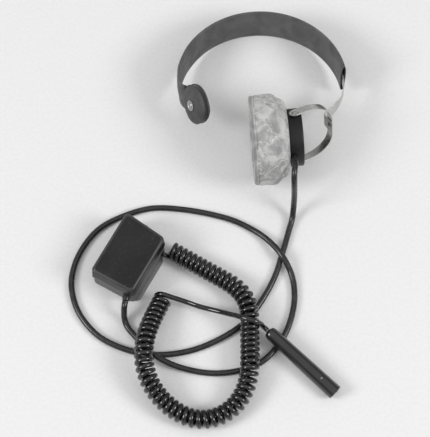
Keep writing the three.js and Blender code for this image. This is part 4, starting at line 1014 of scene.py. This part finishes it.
# %% Receiver housing and grommet
R, WALL, BOSS_END = 28.5, 2.6, 30
CORD_X, CORD_Z = -3.6, -1.8      # where the cord leaves the drum
AXIS = 0.01                      # so near the axis that the two faces close there
housing = turned("receiver_drum", [
    (-7.2, R - WALL), (-7.2, R - 0.2), (-7.0, R), (4.6, R), (5.3, R - 0.15), (5.85, R - 0.55),
    (6.2, R - 1.1), (6.3, R - 1.9), (6.3, AXIS), (3.9, AXIS), (3.9, R - WALL),
], CUP, 128)
print("drum", [round(size / MM, 1) for size in housing.dimensions])
pivot_lines = [along_axis(CUP, [0, 0, 0], [0, 0, way]) for way in BOTH_SIDES.values()]
for line in pivot_lines:
    combined(housing, "UNION", turned("boss", [
        (R - 1.6, 0), (R - 1.6, 4.4), (BOSS_END - 0.4, 4.4), (BOSS_END - 0.1, 4.25), (BOSS_END, 4.0),
        (BOSS_END, 0),
    ], line, 48))
cord_line = along_axis(CUP, [CORD_X, 0, CORD_Z], [0, -1, 0])
THROUGH = (22.5, 32)             # from inside the wall to past the bosses
drilled(housing, *((line, *THROUGH, 1.65) for line in pivot_lines), (cord_line, *THROUGH, 2.9))
finish_with(housing, "receiver", PHENOLIC, "receiver_housing", slot="bakelite")
GROMMET = along_axis(CUP, [CORD_X, -R - 0.3, CORD_Z], [0, -1, 0])
grommet = turned("cord_grommet_fine", [
    (-2.6, 0), (-2.6, 2.5), (0.1, 2.5), (0.1, 3.6), (0.3, 3.8), (1.1, 3.8), (1.8, 3.6), (3.2, 3.34),
    (4.8, 3.2), (5.7, 3.12), (6.0, 2.95), (6.0, 0),
], GROMMET, 40)
finish_with(grommet, "receiver", JACKET, "cord_grommet", slot="cord_rubber")

# %% [markdown]
# ## In-line box
# The box has a shallow black cover with rounded edges over a deep grey tray, both moulded, and
# its far end is out of square. A cube with a bevel would give every edge the same radius and
# every end the same angle, but here the cover overhangs the tray and leans in a little, and
# the corners differ. So each is a stack of rounded rectangles, carried up the outside, over
# the top and down again inside. The earphone cord goes in through a short slanted sleeve, the
# curly cord through a bush set in the wall.

# %% Moulded box materials
def moulding(name, dark, light, rough, scuff="#5c5c5c", specular=0.5):
    """Moulded thermoplastic with a fine spark-eroded grain: satin, with some pale scuffs. Where a
    piece marks its rim, a paler band of painted highlight lies along it."""
    material, place = blank(name)
    cloud = noise(material, place, 30, 4, 0.55)
    grain = bumped(material, noise(material, place, 0.8, 3), 0.03)
    scuffs = noise(material, place, 7, 6, 0.72, 1.8)
    base = between(material, cloud, dark, light, 0.35, 0.7)
    mark = between(material, scuffs, 0.0, 0.45, 0.57, 0.72)
    # A painted highlight on the rounded rim, where the lamps catch its edge
    rim = add(material, "Attribute", attribute_name="painted_rim_highlight").outputs["Fac"]
    rubbed = times(material, rim, between(material, cloud, 0.7, 1.0, 0.3, 0.7))
    colour = laid_over(material, rubbed, "#414141", laid_over(material, mark, scuff, base))
    gloss = between(material, cloud, rough - 0.04, rough + 0.06, 0.3, 0.7)
    return surfaced(material, {"IOR": 1.5, "Specular IOR Level": specular},
                    {"Base Color": colour, "Roughness": gloss, "Normal": grain})


BOX_BLACK = moulding("moulded_black_cover", "#121212", "#1c1c1c", 0.36, specular=0.36)
BOX_GREY = moulding("moulded_grey_tray", "#575757", "#646464", 0.55, scuff="#7a7a7a")
print("made", BOX_BLACK.name, BOX_GREY.name)

# %% Box cover and tray
LENGTH, WIDTH, HEIGHT, SPLIT = 68, 48.4, 39, 24.5
SKEW = 2.8      # the far end runs this much out of square on each side


def rounded_rings(insets, heights, radii, each=9):
    """Rounded rectangles: the box's half sizes less an inset, with a quarter circle of its own
    radius at each corner, one ring for each inset and height. Towards the far end x grows by
    4 skew x y / (length width), which turns that end a little out of square."""
    inset = np.asarray(insets, float)[:, None, None]
    a = np.radians(90 * (np.arange(4)[:, None] + np.linspace(0, 1, each)[None, :]))[None]
    r = np.maximum(np.asarray(radii, float)[None, :, None] - inset * 0.5, 0.01)
    sx = np.array([1, -1, -1, 1])[None, :, None]
    sy = np.array([1, 1, -1, -1])[None, :, None]
    x = sx * np.maximum(LENGTH / 2 - inset - r, 0) + r * np.cos(a)
    y = sy * np.maximum(WIDTH / 2 - inset - r, 0) + r * np.sin(a)
    x = x + 4 * SKEW * np.maximum(x, 0) * y / (LENGTH * WIDTH)
    z = np.asarray(heights, float)[:, None, None] + 0 * x
    return np.stack([x, y, z], -1).reshape(len(insets), -1, 3)


def shell(name, steps, radii, ends):
    """Closed skin through rounded rings, one for each step's inset and height, with a pole at
    each end at the given heights."""
    insets, heights = zip(*steps)
    rings = rounded_rings(insets, heights, radii)
    first, last = rings[0].mean(0), rings[-1].mean(0)
    first[2], last[2] = ends
    shares = np.array([0.0, 0.35, 0.7])[:, None, None]
    start = first + (rings[0] - first) * shares
    finish = last + (rings[-1] - last) * shares[::-1]
    return solid(name, carried(np.concatenate([start, rings, finish]), BOX), caps=False)


EDGE_RADIUS, LEAN, CEILING = 3, 0.6, HEIGHT - 2.2
a = np.radians(np.linspace(90, 0, 10))
rounded = zip(LEAN + EDGE_RADIUS * (1 - np.cos(a)), HEIGHT - EDGE_RADIUS + EDGE_RADIUS * np.sin(a))
cover = shell("box_lid", [
    *rounded, (0.1, SPLIT + 2.6), (0.03, SPLIT + 1.7), (0.0, SPLIT + 1.1), (0.1, SPLIT + 0.4),
    (0.5, SPLIT), (2.2, SPLIT), (3.4, CEILING),
], [5, 5, 5.5, 5.5], (HEIGHT, CEILING))
# The rounded top edge is marked for its painted highlight.
cover_height = points_of(cover)[:, 2] / MM
on_rim = (cover_height > CEILING) & (cover_height < HEIGHT - 0.02)
marked(cover, "painted_rim_highlight", on_rim.astype(float))
finish_with(cover, "receiver", BOX_BLACK, "box_cover", slot="box_black")
TRAY_INSET, TRAY_LOW, TRAY_FLOOR, TRAY_TOP = 1.1, 1.5, 3.7, SPLIT - 0.3
tray = shell("box_tray", [
    (1.8, TRAY_LOW), (1.25, 1.7), (TRAY_INSET, 2.2), (TRAY_INSET, TRAY_TOP), (3.3, TRAY_TOP),
    (3.3, TRAY_FLOOR),
], [4, 4, 6.5, 5], (TRAY_LOW, TRAY_FLOOR))
EAR_GLAND = along_axis(BOX, [TRAY_INSET - LENGTH / 2, -15.4, 17], [-0.94, -0.342, 0])
CURLY_GLAND = along_axis(BOX, [23.1, TRAY_INSET - WIDTH / 2, 10.1], [0, -1, 0])
SCREW_PLACES = ((-20, 11), (20, -11))
screw_lines = [along_axis(BOX, [x, y, -1], [0, 0, 1]) for x, y in SCREW_PLACES]
drilled(tray, (EAR_GLAND, -7, 4, 4.0), (CURLY_GLAND, -7, 5, 3.5),
        *((line, 0, 6.5, 1.6) for line in screw_lines))
finish_with(tray, "receiver", BOX_GREY, "box_base", slot="box_grey")
ear_gland = turned("ear_cord_gland_fine", [
    (-5.2, 0), (-5.2, 3.7), (1.6, 3.7), (3.4, 3.6), (4.9, 3.45), (5.25, 3.3), (5.4, 3.1), (5.4, 0),
], EAR_GLAND, 40)
curly_gland = turned("curly_cord_gland_fine", [
    (-4.6, 0), (-4.6, 3.2), (-2.1, 3.2), (-1.9, 3.0), (-1.9, 0),
], CURLY_GLAND, 40)
finish_with(ear_gland, "receiver", JACKET, "ear_cord_gland", slot="cord_rubber")
finish_with(curly_gland, "receiver", JACKET, "curly_cord_gland", slot="cord_rubber")

# %% [markdown]
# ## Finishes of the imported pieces
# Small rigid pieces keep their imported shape: washers, the keeper, the parts inside the receiver
# and the box. They still get a real finish each, by giving their material slots a new material.

# %% Winding and fibre materials
def enamelled_winding():
    """Copper wire under brown enamel, wound in layers. Its ridges are drawn coarser than the wire,
    so that they show. A wave texture repeats every 2 pi / (20 scale)."""
    material, place = blank("enamelled_copper_winding")
    ridge_apart = 1.78 * MM
    ridge = add(material, "TexWave", {"Scale": math.pi / 10 / ridge_apart, "Distortion": 0.4},
                {"Vector": place}, bands_direction="Z").outputs["Fac"]
    # The grooves between the turns are coloured darker: painted shade.
    colour = between(material, ridge, "#5b3018", "#8a4d26")
    return surfaced(material, {"Roughness": 0.35, "IOR": 1.6},
                    {"Base Color": colour, "Normal": bumped(material, ridge, 0.12)})


def pressed_fibre():
    """Vulcanised fibre board: paper pressed hard, so it is matt brown with short pale fibres."""
    material, place = blank("vulcanised_fibre")
    fibre = noise(material, place, 1.2, 5, 0.7, 0.8)
    colour = between(material, fibre, "#5a4630", "#80684a", 0.3, 0.7)
    return surfaced(material, {"Roughness": 0.75},
                    {"Base Color": colour, "Normal": bumped(material, fibre, 0.06)})


WINDING, FIBRE = enamelled_winding(), pressed_fibre()
print("made", WINDING.name, FIBRE.name)

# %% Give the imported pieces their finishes
FINISHES = {
    SPRING_STEEL: ["headband_spring", "slide_keeper", "diaphragm"],
    TIN: ["box_plate", "plate_screw_1", "plate_screw_2", "end_screw", "set_screw"],
    NICKEL: ["eyelet_washer", "socket_sleeve", "pivot_washer_upper", "pivot_washer_lower"],
    PHENOLIC: ["receiver_cap"],
    BRASS: ["diaphragm_ring"],
    MAGNET_IRON: ["magnet", "pole_pieces", "transformer_core"],
    WINDING: ["coil_upper", "coil_lower", "transformer_winding"],
    FIBRE: ["terminal_block", "socket_insert"],
    BOX_BLACK: ["corner_angle"],
    JACKET: ["socket_gland"],
}
for material, names in FINISHES.items():
    for name in names:
        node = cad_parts[name]
        node.data.materials.clear()
        node.data.materials.append(material)
finished = {name for names in FINISHES.values() for name in names}
bare = [name for name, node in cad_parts.items() if not node.hide_render and name not in finished]
print("packed pieces with a finish:", len(finished), "left bare:", bare)

# %% [markdown]
# ## Table and light
# The photograph is a record shot: a pale sheet, and two soft lamps left and right of the camera,
# which put two highlights on every curl of the cord. A colour should come out as it is written,
# so the two lamps and the fill from the world together light the table with a strength of one.
# The fill is strong overhead, weak a third of the way up and brighter again near the horizon:
# bright metal shows that as pale and dark bands, which an even world would wash out.

# %% Table
def pale_paper():
    """Background paper: matt, with no pattern that would show from this far; its faint tooth is
    drawn a little coarser than it is."""
    material, place = blank("background_paper")
    tooth = noise(material, place, 3, 3)
    colour = between(material, tooth, "#e4e4e4", "#e8e8e8", 0.3, 0.7)
    return surfaced(material, {"Roughness": 0.95, "Specular IOR Level": 0.2}, {"Base Color": colour})


REACH, SQUARES = 3, 12      # metres to each side, and squares across
u = np.linspace(-REACH, REACH, SQUARES + 1)
floor_grid = np.stack(np.meshgrid(u, u, [0.0], indexing="ij"), -1).reshape(-1, 3)
facing_up = grid_faces(SQUARES + 1, SQUARES + 1, around=False)[:, ::-1]
floor_mesh = bpy.data.meshes.new("table_top")
floor_mesh.from_pydata(floor_grid.tolist(), [], facing_up.tolist())
floor = bpy.data.objects.new("table_top", floor_mesh)
bpy.context.scene.collection.objects.link(floor)
floor_mesh.materials.append(pale_paper())
print("table top faces", "up" if floor_mesh.polygons[0].normal.z > 0 else "down")

# %% Lamps
LAMP_AWAY, LAMP_WIDE = 3.0, 1.2      # metres
LAMPS = {"lamp_left": (-0.743, -0.229, 0.629, 38), "lamp_right": (0.743, -0.229, 0.629, 36)}
for name, (x, y, z, watts) in LAMPS.items():
    light = bpy.data.lights.new(name, "AREA")
    light.shape, light.size, light.energy = "DISK", LAMP_WIDE, watts
    lamp = bpy.data.objects.new(name, light)
    bpy.context.scene.collection.objects.link(lamp)
    away = unit([x, y, z])
    across = unit(np.cross(UP, away))
    facing = np.stack([across, np.cross(away, across), away, LAMP_AWAY * away + target], 1)
    lamp.matrix_world = Matrix([*facing.tolist(), [0, 0, 0, 1]])
print("lamps", {name: watts for name, (*_, watts) in LAMPS.items()})

# %% World
SKY = [(0.0, 0.55), (0.32, 0.5), (0.46, 0.12), (0.6, 0.34), (0.8, 0.84)]      # height, grey
world = bpy.data.worlds.new("pale_room")
bpy.context.scene.world = world
world.use_nodes = True
nodes, links = world.node_tree.nodes, world.node_tree.links
height = nodes.new("ShaderNodeSeparateXYZ")
ramp = nodes.new("ShaderNodeValToRGB")
while len(ramp.color_ramp.elements) < len(SKY):
    ramp.color_ramp.elements.new(0.5)
for stop, (at, grey) in zip(ramp.color_ramp.elements, SKY):
    stop.position, stop.color = at, (grey, grey, grey, 1)
links.new(nodes.new("ShaderNodeTexCoord").outputs["Generated"], height.inputs[0])
links.new(height.outputs["Z"], ramp.inputs[0])
links.new(ramp.outputs["Color"], nodes["Background"].inputs["Color"])
nodes["Background"].inputs["Strength"].default_value = 1.0
bpy.context.scene.view_settings.view_transform = "Standard"
print("world heights and greys", SKY)
